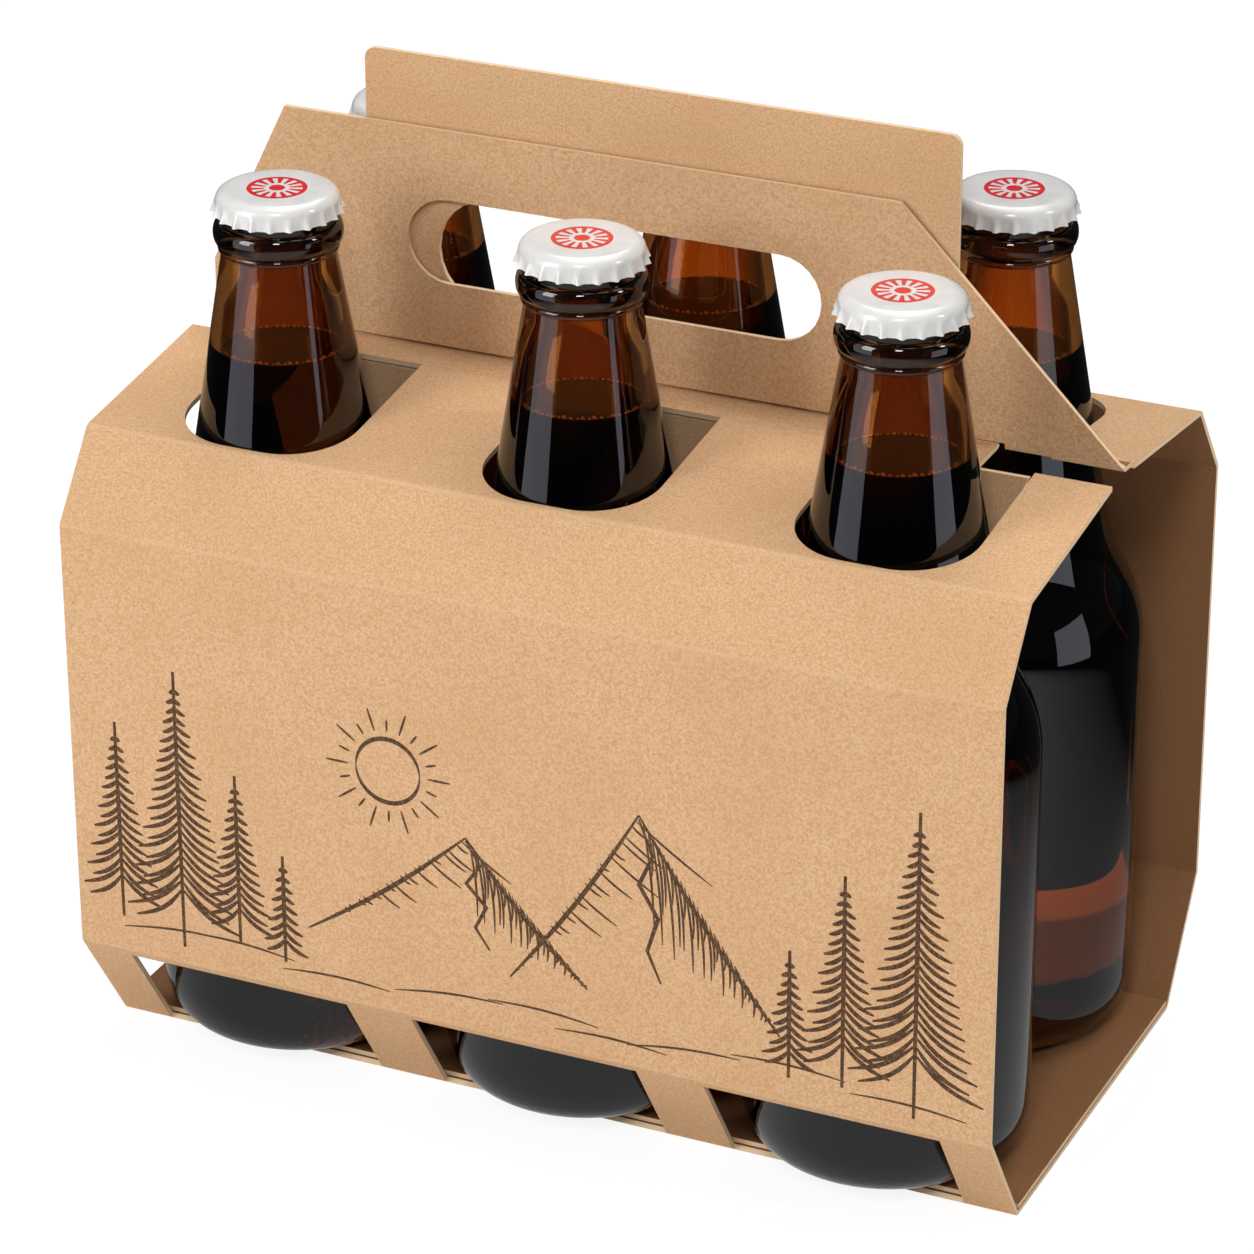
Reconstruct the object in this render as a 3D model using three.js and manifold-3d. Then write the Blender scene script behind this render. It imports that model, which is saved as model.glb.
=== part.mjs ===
// Six-bottle carrier: a folded kraft-board sleeve with a threaded two-ply handle,
// holding two rows of three crown-capped bottles. Millimetres, +Z up, +X along the
// length, front at -Y, origin at the middle of the underside.
import * as THREE from 'three';
import { mergeVertices } from 'three/addons/utils/BufferGeometryUtils.js';
import Module from 'manifold-3d';

const wasm = await Module();
wasm.setup();

// Board and folded sleeve
const BOARD = 1.2;
const CREASE_GAP = 0.3;
const GLUE_LINE = 0.2;
const SEAT_GAP = 0.3;
const SLEEVE_END_MARGIN = 5.6;
const LOWER_BEVEL_SETBACK = 17.5;
const RIDGE_WIDTH = 10.6;
const LOWER_CREASE_Z = 26.5;
const UPPER_CREASE_Z = 127;
const SHOULDER_CREASE_Z = 145;
const RIDGE_Z = 150.5;

// Bottle places
const BOTTLES_PER_ROW = 3;
const BOTTLE_GAP = 8.4;
const ROW_GAP = 0.6;
const WALL_CLEARANCE = 2;

// Heel cut-outs of the lower bevels and neck holes of the shoulders
const HEEL_CUT_DRAW_IN = 1.6;
const HEEL_CUT_INSET = 4.4;
const HEEL_CUT_MARGIN = 1.9;
const REAR_CUT_CLEARANCE = 8.9;
const NECK_HOLE_SIDE_CLEARANCE = 1.2;
const NECK_HOLE_END_CLEARANCE = 0.6;
const NECK_HOLE_MARGIN = 1.5;
const NECK_HOLE_RADIUS = 15;

// Neck flaps, folded down from the front ridge
const FLAP_HEIGHT = 15;
const FLAP_SIDE_GAP = 1.3;
const FLAP_TAPER = 5;
const FLAP_RADIUS = 4;

// Handle plies
const FRONT_PLY_RISE = 50.5;
const FRONT_PLY_TOP = [-87.4, 55.6];
const FRONT_PLY_END_MARGIN = 1;
const FRONT_PLY_FOOT_DEPTH = 0.4;
const FRONT_PLY_LEFT_EDGE_RISE = 12.5;
const REAR_PLY_RISE = 66.3;
const REAR_PLY_SPAN = [-68.3, 68];
const REAR_PLY_CORNER = 2.5;
const PLY_GAP = 0.4;
const FRONT_SLOT = { left: -58.2, right: 38.4, bottom: 15.5, top: 34.8 };
const REAR_SLOT = { left: -51.5, right: 44, bottom: 10.5, top: 35.2 };
const BRIDGE_SPAN = [-73, 78];
const SLIT_SIDE_CLEARANCE = 2;
const SLIT_OPENING = 1;
const REAR_PLY_FOOT_GAP = 0.5;

// Bottle
const BOTTLE_RADIUS = 31;
const BOTTLE_WALL = 2.6;
const BOTTLE_FLOOR = 4;
const BOTTLE_HEIGHT = 192.6;
const HEEL_HEIGHT = 13;
const BEARING_RADIUS = 21;
const PUNT_DEPTH = 3;
const PUNT_FLAT_RADIUS = 14.7;
const SHOULDER_START = 92;
const SHOULDER_RISE = 26;
const SHOULDER_FULLNESS = 13;
const SHOULDER_EASE = { out: 2.1, down: 9.1 };
const NECK_ROOT_RADIUS = 22.6;
const NECK_TOP_RADIUS = 12.1;
const COLLAR_RADIUS = 13.8;
const COLLAR_HEIGHT = 6.5;
const COLLAR_FLARE = 2;
const FINISH_HEIGHT = 5.2;
const FINISH_RADIUS = 12.1;
const BEAD_RADIUS = 12.6;
const BEAD_HEIGHT = 3.2;
const LIP_ROUND = 1;
const BORE_RADIUS = 8.2;
const BORE_DEPTH = 16;
const HEADSPACE = 33;
const FILL_GAP = 0.3;

// Crown cap and its liner
const CAP_HEIGHT = 4.9;
const CAP_THICKNESS = 0.6;
const CAP_TOP_RADIUS = 11.6;
const CAP_SHOULDER_DEPTH = 2;
const CAP_SKIRT_RADIUS = 13.5;
const CAP_FLUTES = 21;
const CAP_FLUTE_DEPTH = 0.4;
const LINER_RADIUS = 11.2;
const LINER_THICKNESS = 0.8;
const LINER_GAP = 0.1;

// Facet counts
const BOTTLE_SEGMENTS = 20;
const CURVE_STEPS = 5;
const INNER_CURVE_STEPS = 3;
const CORNER_STEPS = 6;
const WELD_TOLERANCE = 1e-4;

// Values that follow from the sizes above
const BOTTLE_PITCH = 2 * BOTTLE_RADIUS + BOTTLE_GAP;
const ROW_PITCH = 2 * BOTTLE_RADIUS + ROW_GAP;
const ROW_HALF = (BOTTLES_PER_ROW - 1) / 2;
const HALF_LENGTH = ROW_HALF * BOTTLE_PITCH + BOTTLE_RADIUS + SLEEVE_END_MARGIN;
const FLOOR_Z = 2 * BOARD + GLUE_LINE + SEAT_GAP;
const WALL_HALF = ROW_PITCH / 2 + BOTTLE_RADIUS + WALL_CLEARANCE + BOARD;
const BASE_HALF = WALL_HALF - LOWER_BEVEL_SETBACK;
const HEEL_CUT_PITCH = BOTTLE_PITCH - HEEL_CUT_DRAW_IN;
const HEEL_CUT_HALF = BOTTLE_RADIUS - HEEL_CUT_INSET;
const BEVEL_AT_HEEL = BASE_HALF + LOWER_BEVEL_SETBACK * (FLOOR_Z + HEEL_HEIGHT) / LOWER_CREASE_Z;
const HEEL_PROUD_HALF = Math.sqrt(BOTTLE_RADIUS ** 2 - (BEVEL_AT_HEEL - ROW_PITCH / 2) ** 2);
const REAR_CUT_HALF = HEEL_PROUD_HALF + REAR_CUT_CLEARANCE;
const RIDGE_HALF = RIDGE_WIDTH / 2;
const REAR_PLY_Y = RIDGE_HALF + PLY_GAP;
const REAR_PLY_BACK = REAR_PLY_Y + BOARD;
const FRONT_PLY_TOP_Z = RIDGE_Z + FRONT_PLY_RISE;
const REAR_PLY_TOP_Z = RIDGE_Z + REAR_PLY_RISE;
const SLIT_SPAN = [BRIDGE_SPAN[0] - SLIT_SIDE_CLEARANCE, BRIDGE_SPAN[1] + SLIT_SIDE_CLEARANCE];
const FINISH_Z = BOTTLE_HEIGHT - FINISH_HEIGHT;
const NECK_TOP_Z = FINISH_Z - COLLAR_HEIGHT;
const NECK_ROOT_Z = SHOULDER_START + SHOULDER_RISE;
const NECK_AT_SHOULDER = neckRadius(SHOULDER_CREASE_Z - FLOOR_Z);
const NECK_HOLE_HALF = NECK_AT_SHOULDER + NECK_HOLE_SIDE_CLEARANCE;
const NECK_HOLE_END = ROW_PITCH / 2 + NECK_AT_SHOULDER + NECK_HOLE_END_CLEARANCE;
const SHOULDER_HALF = NECK_HOLE_END + NECK_HOLE_MARGIN;
const FILL_Z = BOTTLE_HEIGHT - HEADSPACE;
const CAP_TOP_Z = BOTTLE_HEIGHT + LINER_THICKNESS + 2 * LINER_GAP + CAP_THICKNESS;
const PASS = 1;

const board = new THREE.MeshStandardMaterial({ color: 0xcfa376, roughness: 0.85, metalness: 0 });
const glass = new THREE.MeshStandardMaterial({ color: 0x5a2a0c, roughness: 0.08, metalness: 0 });
const beer = new THREE.MeshStandardMaterial({ color: 0x3a1a06, roughness: 0.1, metalness: 0 });
const enamel = new THREE.MeshStandardMaterial({ color: 0xf2efe9, roughness: 0.3, metalness: 0.2 });
const sealant = new THREE.MeshStandardMaterial({ color: 0xd8d8d2, roughness: 0.6, metalness: 0 });

// A closed solid from a geometry: seams and poles welded, empty triangles dropped.
function weld(geometry) {
  const bare = geometry.clone();
  bare.deleteAttribute('normal');
  bare.deleteAttribute('uv');
  const welded = mergeVertices(bare, WELD_TOLERANCE);
  const source = welded.index.array;
  const kept = [];
  for (let i = 0; i < source.length; i += 3) {
    const [a, b, c] = [source[i], source[i + 1], source[i + 2]];
    if (a !== b && b !== c && c !== a) kept.push(a, b, c);
  }
  welded.setIndex(kept);
  return welded;
}

function toSolid(geometry) {
  const welded = weld(geometry);
  return new wasm.Manifold(new wasm.Mesh({
    numProp: 3,
    vertProperties: new Float32Array(welded.attributes.position.array),
    triVerts: new Uint32Array(welded.index.array),
  }));
}

function cut(geometry, tools) {
  const solid = tools.reduce((left, tool) => left.subtract(toSolid(tool)), toSolid(geometry));
  const mesh = solid.getMesh();
  const result = new THREE.BufferGeometry();
  result.setAttribute('position', new THREE.BufferAttribute(mesh.vertProperties, 3));
  result.setIndex(new THREE.BufferAttribute(mesh.triVerts, 1));
  return result;
}

function addPiece(parent, name, geometry, material) {
  const mesh = new THREE.Mesh(geometry, material);
  mesh.geometry.computeVertexNormals();
  mesh.name = name;
  parent.add(mesh);
  return mesh;
}

// Prism along the length from an outline in the Y-Z section.
function alongLength(outline, [start, end]) {
  const shape = new THREE.Shape(outline.map(([y, z]) => new THREE.Vector2(y, z)));
  const prism = new THREE.ExtrudeGeometry(shape, { depth: end - start, bevelEnabled: false });
  const axes = new THREE.Matrix4().makeBasis(
    new THREE.Vector3(0, 1, 0), new THREE.Vector3(0, 0, 1), new THREE.Vector3(1, 0, 0));
  return prism.applyMatrix4(axes).translate(start, 0, 0);
}

// Upright sheet from an outline in the X-Z plane, its front face at the given Y.
function uprightSheet(shape, frontY, thickness) {
  const options = { depth: thickness, bevelEnabled: false, curveSegments: CORNER_STEPS };
  const sheet = new THREE.ExtrudeGeometry(shape, options);
  return sheet.rotateX(Math.PI / 2).translate(0, frontY + thickness, 0);
}

function block([x0, x1], [y0, y1], [z0, z1]) {
  const box = new THREE.BoxGeometry(x1 - x0, y1 - y0, z1 - z0);
  return box.translate((x0 + x1) / 2, (y0 + y1) / 2, (z0 + z1) / 2);
}

function bottleX(column) {
  return (column - ROW_HALF) * BOTTLE_PITCH;
}

// Where two lines, each given by a point and a direction, cross.
function crossing(p, d, q, e) {
  const t = ((q[0] - p[0]) * e[1] - (q[1] - p[1]) * e[0]) / (d[0] * e[1] - d[1] * e[0]);
  return [p[0] + t * d[0], p[1] + t * d[1]];
}

function direction(from, to) {
  const length = Math.hypot(to[0] - from[0], to[1] - from[1]);
  return [(to[0] - from[0]) / length, (to[1] - from[1]) / length];
}

// Mitred board sections between the creases of a fold line. The board lies to the
// right of the line as it is followed, and each section stops short of its creases.
function foldedSections(creases) {
  const ways = creases.slice(1).map((point, i) => direction(creases[i], point));
  const inset = (i) => [creases[i][0] + BOARD * ways[i][1], creases[i][1] - BOARD * ways[i][0]];
  const inner = creases.slice(1, -1).map((_, i) => crossing(inset(i), ways[i], inset(i + 1), ways[i + 1]));
  const half = CREASE_GAP / 2;
  const step = (point, way, amount) => [point[0] + way[0] * amount, point[1] + way[1] * amount];
  return inner.slice(1).map((_, i) => {
    const way = ways[i + 1];
    return [
      step(creases[i + 1], way, half), step(creases[i + 2], way, -half),
      step(inner[i + 1], way, -half), step(inner[i], way, half),
    ];
  });
}

// Crease points of one half, from the middle of the base out and up to the ridge.
const frontCreases = [
  [0, 0], [-BASE_HALF, 0], [-WALL_HALF, LOWER_CREASE_Z], [-WALL_HALF, UPPER_CREASE_Z],
  [-SHOULDER_HALF, SHOULDER_CREASE_Z], [-RIDGE_HALF, RIDGE_Z], [REAR_PLY_BACK, RIDGE_Z],
];
const [lowerBevel, wall, upperBevel, shoulder] = foldedSections(frontCreases);
const mirrored = (section) => section.map(([y, z]) => [-y, z]).reverse();
const sleeveSpan = [-HALF_LENGTH, HALF_LENGTH];

// Heel cut-outs run from the base crease up to a narrow strip under the wall. The rear ones
// are as wide as the bottles' heels need, the front ones show more of the glass.
function heelCuts(side, half) {
  const near = Math.min(side * BASE_HALF, side * WALL_HALF) - WALL_HALF / 2;
  const far = near + 2 * WALL_HALF;
  return Array.from({ length: BOTTLES_PER_ROW }, (_, column) => {
    const middle = (column - ROW_HALF) * HEEL_CUT_PITCH;
    const span = [middle - half, middle + half];
    return block(span, [near, far], [-PASS, LOWER_CREASE_Z - HEEL_CUT_MARGIN]);
  });
}

// Neck holes are U-shaped: square to the ridge, rounded towards the shoulder crease.
function neckHole(column, side) {
  const half = NECK_HOLE_HALF;
  const far = NECK_HOLE_END;
  const r = NECK_HOLE_RADIUS;
  const shape = new THREE.Shape();
  shape.moveTo(-half, 0);
  shape.lineTo(half, 0);
  shape.lineTo(half, far - r);
  shape.absarc(half - r, far - r, r, 0, Math.PI / 2, false);
  shape.lineTo(-half + r, far);
  shape.absarc(-half + r, far - r, r, Math.PI / 2, Math.PI, false);
  shape.closePath();
  const depth = RIDGE_Z - UPPER_CREASE_Z + PASS;
  const options = { depth, bevelEnabled: false, curveSegments: CORNER_STEPS };
  const hole = new THREE.ExtrudeGeometry(shape, options);
  if (side < 0) hole.rotateZ(Math.PI);
  return hole.translate(bottleX(column), 0, UPPER_CREASE_Z);
}

function neckHoles(side) {
  return Array.from({ length: BOTTLES_PER_ROW }, (_, column) => neckHole(column, side));
}

// Folded sleeve: panels of one half each, joined at the creases.
function buildSleeve() {
  const sleeve = new THREE.Group();
  const panel = (name, section, tools = []) => {
    const geometry = alongLength(section, sleeveSpan);
    addPiece(sleeve, name, tools.length ? cut(geometry, tools) : geometry, board);
  };
  const rest = BASE_HALF - CREASE_GAP / 2;
  const lapHalf = rest - BOARD + CREASE_GAP;
  panel('base_panel', [[-rest, 0], [rest, 0], [lapHalf, BOARD], [-lapHalf, BOARD]]);
  const lapZ = BOARD + GLUE_LINE;
  panel('base_lap_panel', [[-lapHalf, lapZ], [lapHalf, lapZ], [lapHalf, lapZ + BOARD], [-lapHalf, lapZ + BOARD]]);
  panel('front_lower_bevel', lowerBevel, heelCuts(-1, HEEL_CUT_HALF));
  panel('front_wall', wall);
  panel('front_upper_bevel', upperBevel);
  panel('front_shoulder', shoulder, neckHoles(-1));
  panel('rear_lower_bevel', mirrored(lowerBevel), heelCuts(1, REAR_CUT_HALF));
  panel('rear_wall', mirrored(wall));
  panel('rear_upper_bevel', mirrored(upperBevel));
  const slit = block(SLIT_SPAN, [0, REAR_PLY_BACK + CREASE_GAP], [UPPER_CREASE_Z, RIDGE_Z + PASS]);
  panel('rear_shoulder', mirrored(shoulder), [...neckHoles(1), slit]);
  const start = -RIDGE_HALF + CREASE_GAP / 2;
  const under = RIDGE_Z - BOARD;
  addPiece(sleeve, 'ridge_bridge', alongLength(
    [[start, under], [REAR_PLY_BACK, under], [REAR_PLY_BACK, RIDGE_Z], [start, RIDGE_Z]], BRIDGE_SPAN), board);
  return sleeve;
}

// Neck flap: what was cut from the hole, hanging from the front ridge.
function neckFlap(column) {
  const top = RIDGE_Z - BOARD - CREASE_GAP;
  const bottom = top - FLAP_HEIGHT;
  const half = NECK_HOLE_HALF - FLAP_SIDE_GAP;
  const narrow = half - FLAP_TAPER;
  const shape = new THREE.Shape();
  shape.moveTo(-half, top);
  shape.lineTo(-narrow, bottom + FLAP_RADIUS);
  shape.quadraticCurveTo(-narrow, bottom, -narrow + FLAP_RADIUS, bottom);
  shape.lineTo(narrow - FLAP_RADIUS, bottom);
  shape.quadraticCurveTo(narrow, bottom, narrow, bottom + FLAP_RADIUS);
  shape.lineTo(half, top);
  shape.closePath();
  return uprightSheet(shape, -RIDGE_HALF, BOARD).translate(bottleX(column), 0, 0);
}

// Finger slot with round ends, heights measured from the ridge.
function fingerSlot({ left, right, bottom, top }) {
  const radius = (top - bottom) / 2;
  const middle = RIDGE_Z + (top + bottom) / 2;
  const slot = new THREE.Path();
  slot.moveTo(left + radius, middle - radius);
  slot.lineTo(right - radius, middle - radius);
  slot.absarc(right - radius, middle, radius, -Math.PI / 2, Math.PI / 2, false);
  slot.lineTo(left + radius, middle + radius);
  slot.absarc(left + radius, middle, radius, Math.PI / 2, 1.5 * Math.PI, false);
  return slot;
}

// Front ply: folds up from the rear shoulder at its two ends, cut free over the slit.
function frontPly() {
  const foot = RIDGE_Z - FRONT_PLY_FOOT_DEPTH;
  const overSlit = RIDGE_Z + SLIT_OPENING;
  const end = HALF_LENGTH - FRONT_PLY_END_MARGIN;
  const shape = new THREE.Shape();
  shape.moveTo(-end, foot);
  shape.lineTo(SLIT_SPAN[0], foot);
  shape.lineTo(SLIT_SPAN[0], overSlit);
  shape.lineTo(SLIT_SPAN[1], overSlit);
  shape.lineTo(SLIT_SPAN[1], foot);
  shape.lineTo(end, foot);
  shape.lineTo(FRONT_PLY_TOP[1], FRONT_PLY_TOP_Z);
  shape.lineTo(FRONT_PLY_TOP[0], FRONT_PLY_TOP_Z);
  shape.lineTo(-end, RIDGE_Z + FRONT_PLY_LEFT_EDGE_RISE);
  shape.closePath();
  shape.holes.push(fingerSlot(FRONT_SLOT));
  return uprightSheet(shape, RIDGE_HALF - BOARD, BOARD);
}

// Rear ply: threaded through the slit and standing behind the front ply.
function rearPly() {
  const [left, right] = REAR_PLY_SPAN;
  const foot = RIDGE_Z + REAR_PLY_FOOT_GAP;
  const r = REAR_PLY_CORNER;
  const shape = new THREE.Shape();
  shape.moveTo(left, foot);
  shape.lineTo(right, foot);
  shape.lineTo(right, REAR_PLY_TOP_Z - r);
  shape.absarc(right - r, REAR_PLY_TOP_Z - r, r, 0, Math.PI / 2, false);
  shape.lineTo(left + r, REAR_PLY_TOP_Z);
  shape.absarc(left + r, REAR_PLY_TOP_Z - r, r, Math.PI / 2, Math.PI, false);
  shape.closePath();
  shape.holes.push(fingerSlot(REAR_SLOT));
  return uprightSheet(shape, REAR_PLY_Y, BOARD);
}

function revolve(points, segments) {
  return weld(new THREE.LatheGeometry(points, segments).rotateX(Math.PI / 2));
}

function neckRadius(z) {
  const share = (z - NECK_ROOT_Z) / (NECK_TOP_Z - NECK_ROOT_Z);
  return THREE.MathUtils.lerp(NECK_ROOT_RADIUS, NECK_TOP_RADIUS, share);
}

// Flank of the bottle from the heel to a height on the neck, set in by a wall.
function flank(inset, foot, endZ, steps) {
  const path = new THREE.Path();
  path.moveTo(BEARING_RADIUS - inset, foot);
  path.quadraticCurveTo(BOTTLE_RADIUS - inset, foot, BOTTLE_RADIUS - inset, foot + HEEL_HEIGHT);
  path.lineTo(BOTTLE_RADIUS - inset, SHOULDER_START);
  path.bezierCurveTo(
    BOTTLE_RADIUS - inset, SHOULDER_START + SHOULDER_FULLNESS,
    NECK_ROOT_RADIUS + SHOULDER_EASE.out - inset, NECK_ROOT_Z - SHOULDER_EASE.down,
    NECK_ROOT_RADIUS - inset, NECK_ROOT_Z);
  path.lineTo(neckRadius(endZ) - inset, endZ);
  return path.getPoints(steps);
}

// Bottle of glass: pushed-up base, long conical neck, collar and crown finish, open bore.
function bottleGlass() {
  const finish = new THREE.Path();
  finish.moveTo(COLLAR_RADIUS, NECK_TOP_Z + COLLAR_FLARE);
  finish.lineTo(COLLAR_RADIUS, FINISH_Z - COLLAR_FLARE);
  finish.lineTo(FINISH_RADIUS, FINISH_Z);
  finish.lineTo(FINISH_RADIUS, BOTTLE_HEIGHT - BEAD_HEIGHT);
  finish.lineTo(BEAD_RADIUS, BOTTLE_HEIGHT - BEAD_HEIGHT + LIP_ROUND);
  finish.lineTo(BEAD_RADIUS, BOTTLE_HEIGHT - LIP_ROUND);
  finish.lineTo(BEAD_RADIUS - LIP_ROUND, BOTTLE_HEIGHT);
  finish.lineTo(BORE_RADIUS, BOTTLE_HEIGHT);
  finish.lineTo(BORE_RADIUS, BOTTLE_HEIGHT - BORE_DEPTH);
  const punt = new THREE.Path();
  punt.moveTo(0, PUNT_DEPTH);
  punt.quadraticCurveTo(PUNT_FLAT_RADIUS, PUNT_DEPTH, BEARING_RADIUS, 0);
  const innerTop = BOTTLE_HEIGHT - BORE_DEPTH - COLLAR_HEIGHT;
  const profile = [
    ...punt.getPoints(2).slice(0, -1),
    ...flank(0, 0, NECK_TOP_Z, CURVE_STEPS),
    ...finish.getPoints(1),
    ...flank(BOTTLE_WALL, BOTTLE_FLOOR, innerTop, INNER_CURVE_STEPS).reverse(),
    new THREE.Vector2(0, BOTTLE_FLOOR + PUNT_DEPTH),
  ];
  return revolve(profile, BOTTLE_SEGMENTS);
}

function bottleFill() {
  const inset = BOTTLE_WALL + FILL_GAP;
  const foot = BOTTLE_FLOOR + FILL_GAP;
  const profile = [
    new THREE.Vector2(0, foot + PUNT_DEPTH),
    ...flank(inset, foot, FILL_Z, INNER_CURVE_STEPS),
    new THREE.Vector2(0, FILL_Z),
  ];
  return revolve(profile, BOTTLE_SEGMENTS);
}

// Crown cap: domed edge and a skirt whose flutes deepen towards the hem.
function crownCap() {
  const hem = CAP_TOP_Z - CAP_HEIGHT;
  const inner = CAP_SKIRT_RADIUS - CAP_THICKNESS;
  const shoulderZ = CAP_TOP_Z - CAP_SHOULDER_DEPTH;
  const profile = [
    [0, CAP_TOP_Z - CAP_THICKNESS], [CAP_TOP_RADIUS, CAP_TOP_Z - CAP_THICKNESS],
    [inner, shoulderZ], [inner + CAP_FLUTE_DEPTH, hem],
    [CAP_SKIRT_RADIUS + CAP_FLUTE_DEPTH, hem], [CAP_SKIRT_RADIUS, shoulderZ],
    [CAP_TOP_RADIUS + CAP_THICKNESS / 2, CAP_TOP_Z], [0, CAP_TOP_Z],
  ].map(([r, z]) => new THREE.Vector2(r, z));
  const cap = revolve(profile, 2 * CAP_FLUTES);
  const places = cap.attributes.position;
  for (let i = 0; i < places.count; i += 1) {
    const depth = Math.max(0, (shoulderZ - places.getZ(i)) / (shoulderZ - hem));
    const angle = Math.atan2(places.getY(i), places.getX(i)) + Math.PI / 2;
    const radius = Math.hypot(places.getX(i), places.getY(i));
    const scale = radius ? 1 + depth * CAP_FLUTE_DEPTH * Math.cos(CAP_FLUTES * angle) / radius : 1;
    places.setXY(i, places.getX(i) * scale, places.getY(i) * scale);
  }
  return cap;
}

function capLiner() {
  const disc = new THREE.CylinderGeometry(LINER_RADIUS, LINER_RADIUS, LINER_THICKNESS, BOTTLE_SEGMENTS);
  const middle = BOTTLE_HEIGHT + LINER_GAP + LINER_THICKNESS / 2;
  return disc.rotateX(Math.PI / 2).translate(0, 0, middle);
}

const carrier = new THREE.Group();
carrier.add(buildSleeve());
['left', 'middle', 'right'].forEach((place, column) => {
  addPiece(carrier, `neck_flap_${place}`, neckFlap(column), board);
});
addPiece(carrier, 'handle_front_ply', frontPly(), board);
addPiece(carrier, 'handle_rear_ply', rearPly(), board);

const bottlePieces = [
  ['bottle', bottleGlass(), glass],
  ['beer', bottleFill(), beer],
  ['crown_cap', crownCap(), enamel],
  ['cap_liner', capLiner(), sealant],
];
['front', 'rear'].forEach((row, rowIndex) => {
  ['left', 'middle', 'right'].forEach((place, column) => {
    const stand = new THREE.Group();
    stand.position.set(bottleX(column), (rowIndex ? 1 : -1) * ROW_PITCH / 2, FLOOR_Z);
    for (const [name, geometry, material] of bottlePieces) {
      addPiece(stand, `${name}_${row}_${place}`, geometry.clone(), material);
    }
    carrier.add(stand);
  });
});

export default carrier;
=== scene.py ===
"""Six-bottle kraft carrier: folded sleeve, threaded handle, amber bottles and crown caps.

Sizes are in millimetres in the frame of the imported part: +Z up, +X along the length, front at -Y.
"""

from __future__ import annotations

import logging
import math
from collections.abc import Sequence
from dataclasses import dataclass, field
from enum import Enum
from functools import cached_property

import bmesh
import bpy
from mathutils import Matrix, Vector
from mathutils.geometry import delaunay_2d_cdt


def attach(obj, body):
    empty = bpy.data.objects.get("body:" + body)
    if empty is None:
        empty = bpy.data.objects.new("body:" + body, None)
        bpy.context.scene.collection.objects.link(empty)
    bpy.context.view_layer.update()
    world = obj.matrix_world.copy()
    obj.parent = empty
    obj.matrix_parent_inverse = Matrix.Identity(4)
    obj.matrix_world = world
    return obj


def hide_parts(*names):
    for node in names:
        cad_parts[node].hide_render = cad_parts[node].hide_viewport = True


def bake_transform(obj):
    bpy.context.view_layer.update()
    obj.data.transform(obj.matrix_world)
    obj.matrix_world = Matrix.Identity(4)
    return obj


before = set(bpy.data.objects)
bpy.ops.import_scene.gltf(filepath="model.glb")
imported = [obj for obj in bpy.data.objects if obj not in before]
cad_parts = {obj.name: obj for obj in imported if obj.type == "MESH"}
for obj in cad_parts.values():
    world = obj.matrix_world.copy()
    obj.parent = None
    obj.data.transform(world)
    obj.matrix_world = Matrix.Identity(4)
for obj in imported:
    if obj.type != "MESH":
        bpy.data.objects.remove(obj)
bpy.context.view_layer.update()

logging.basicConfig(level=logging.INFO, format="%(name)s: %(message)s")
LOG = logging.getLogger("carrier")

MM = 0.001
SHARP_ANGLE = 40.0
MERGE_DISTANCE = 1e-5
GOLDEN_SHARE = 0.618034
SWELL_POWER = 0.6
BULGE_ANGLE = 84.0
BULGE_POWER = 0.7

Point = tuple[float, float]
Loop = list[Point]
Place3 = tuple[float, float, float]
Colour = tuple[float, float, float, float]
Tree = bpy.types.NodeTree
Socket = bpy.types.NodeSocket

SMOOTH = {"interpolation_type": "SMOOTHSTEP"}


class Slot(Enum):
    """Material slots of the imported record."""

    BOARD = "kraft_board"
    GLASS = "amber_glass"
    BEER = "beer"
    ENAMEL = "cap_enamel"


class Row(Enum):
    """Rows of bottles and the side of the ridge each stands on."""

    FRONT = -1
    REAR = 1


class Place(Enum):
    """Places in a row, counted from the middle."""

    LEFT = -1
    MIDDLE = 0
    RIGHT = 1


def linear(code: str) -> Colour:
    """Linear colour of an sRGB colour.

    Args:
        code: Hex code such as c99f72.

    Returns:
        Linear red, green and blue, and a full alpha.
    """
    shares = (int(code[i:i + 2], 16) / 255 for i in (0, 2, 4))
    red, green, blue = (s / 12.92 if s <= 0.04045 else ((s + 0.055) / 1.055) ** 2.4 for s in shares)
    return red, green, blue, 1.0


def add_node(
    tree: Tree,
    kind: str,
    values: dict | None = None,
    links: dict | None = None,
    **settings: object,
) -> bpy.types.Node:
    """Adds one node with its settings, socket values and incoming links.

    Args:
        tree: Node tree that takes the node.
        kind: Type name of the node.
        values: Socket name or number to constant value.
        links: Socket name or number to the output that feeds it.
        settings: Properties of the node itself.

    Returns:
        The new node.
    """
    node = tree.nodes.new(kind)
    for key, value in settings.items():
        setattr(node, key, value)
    for socket, value in (values or {}).items():
        node.inputs[socket].default_value = value
    for socket, source in (links or {}).items():
        tree.links.new(source, node.inputs[socket])
    return node


# Sockets of the colour mode of the mix node, which share their names with other modes
MIX_FACTOR, MIX_A, MIX_B, MIX_RESULT = 0, 6, 7, 2


def spans(source: Point, target: Point) -> dict[str, float]:
    """Socket values that take one span of values to another.

    Args:
        source: Where the span starts and ends.
        target: What those ends become.

    Returns:
        Socket names and their values.
    """
    return {"From Min": source[0], "From Max": source[1], "To Min": target[0], "To Max": target[1]}


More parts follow.
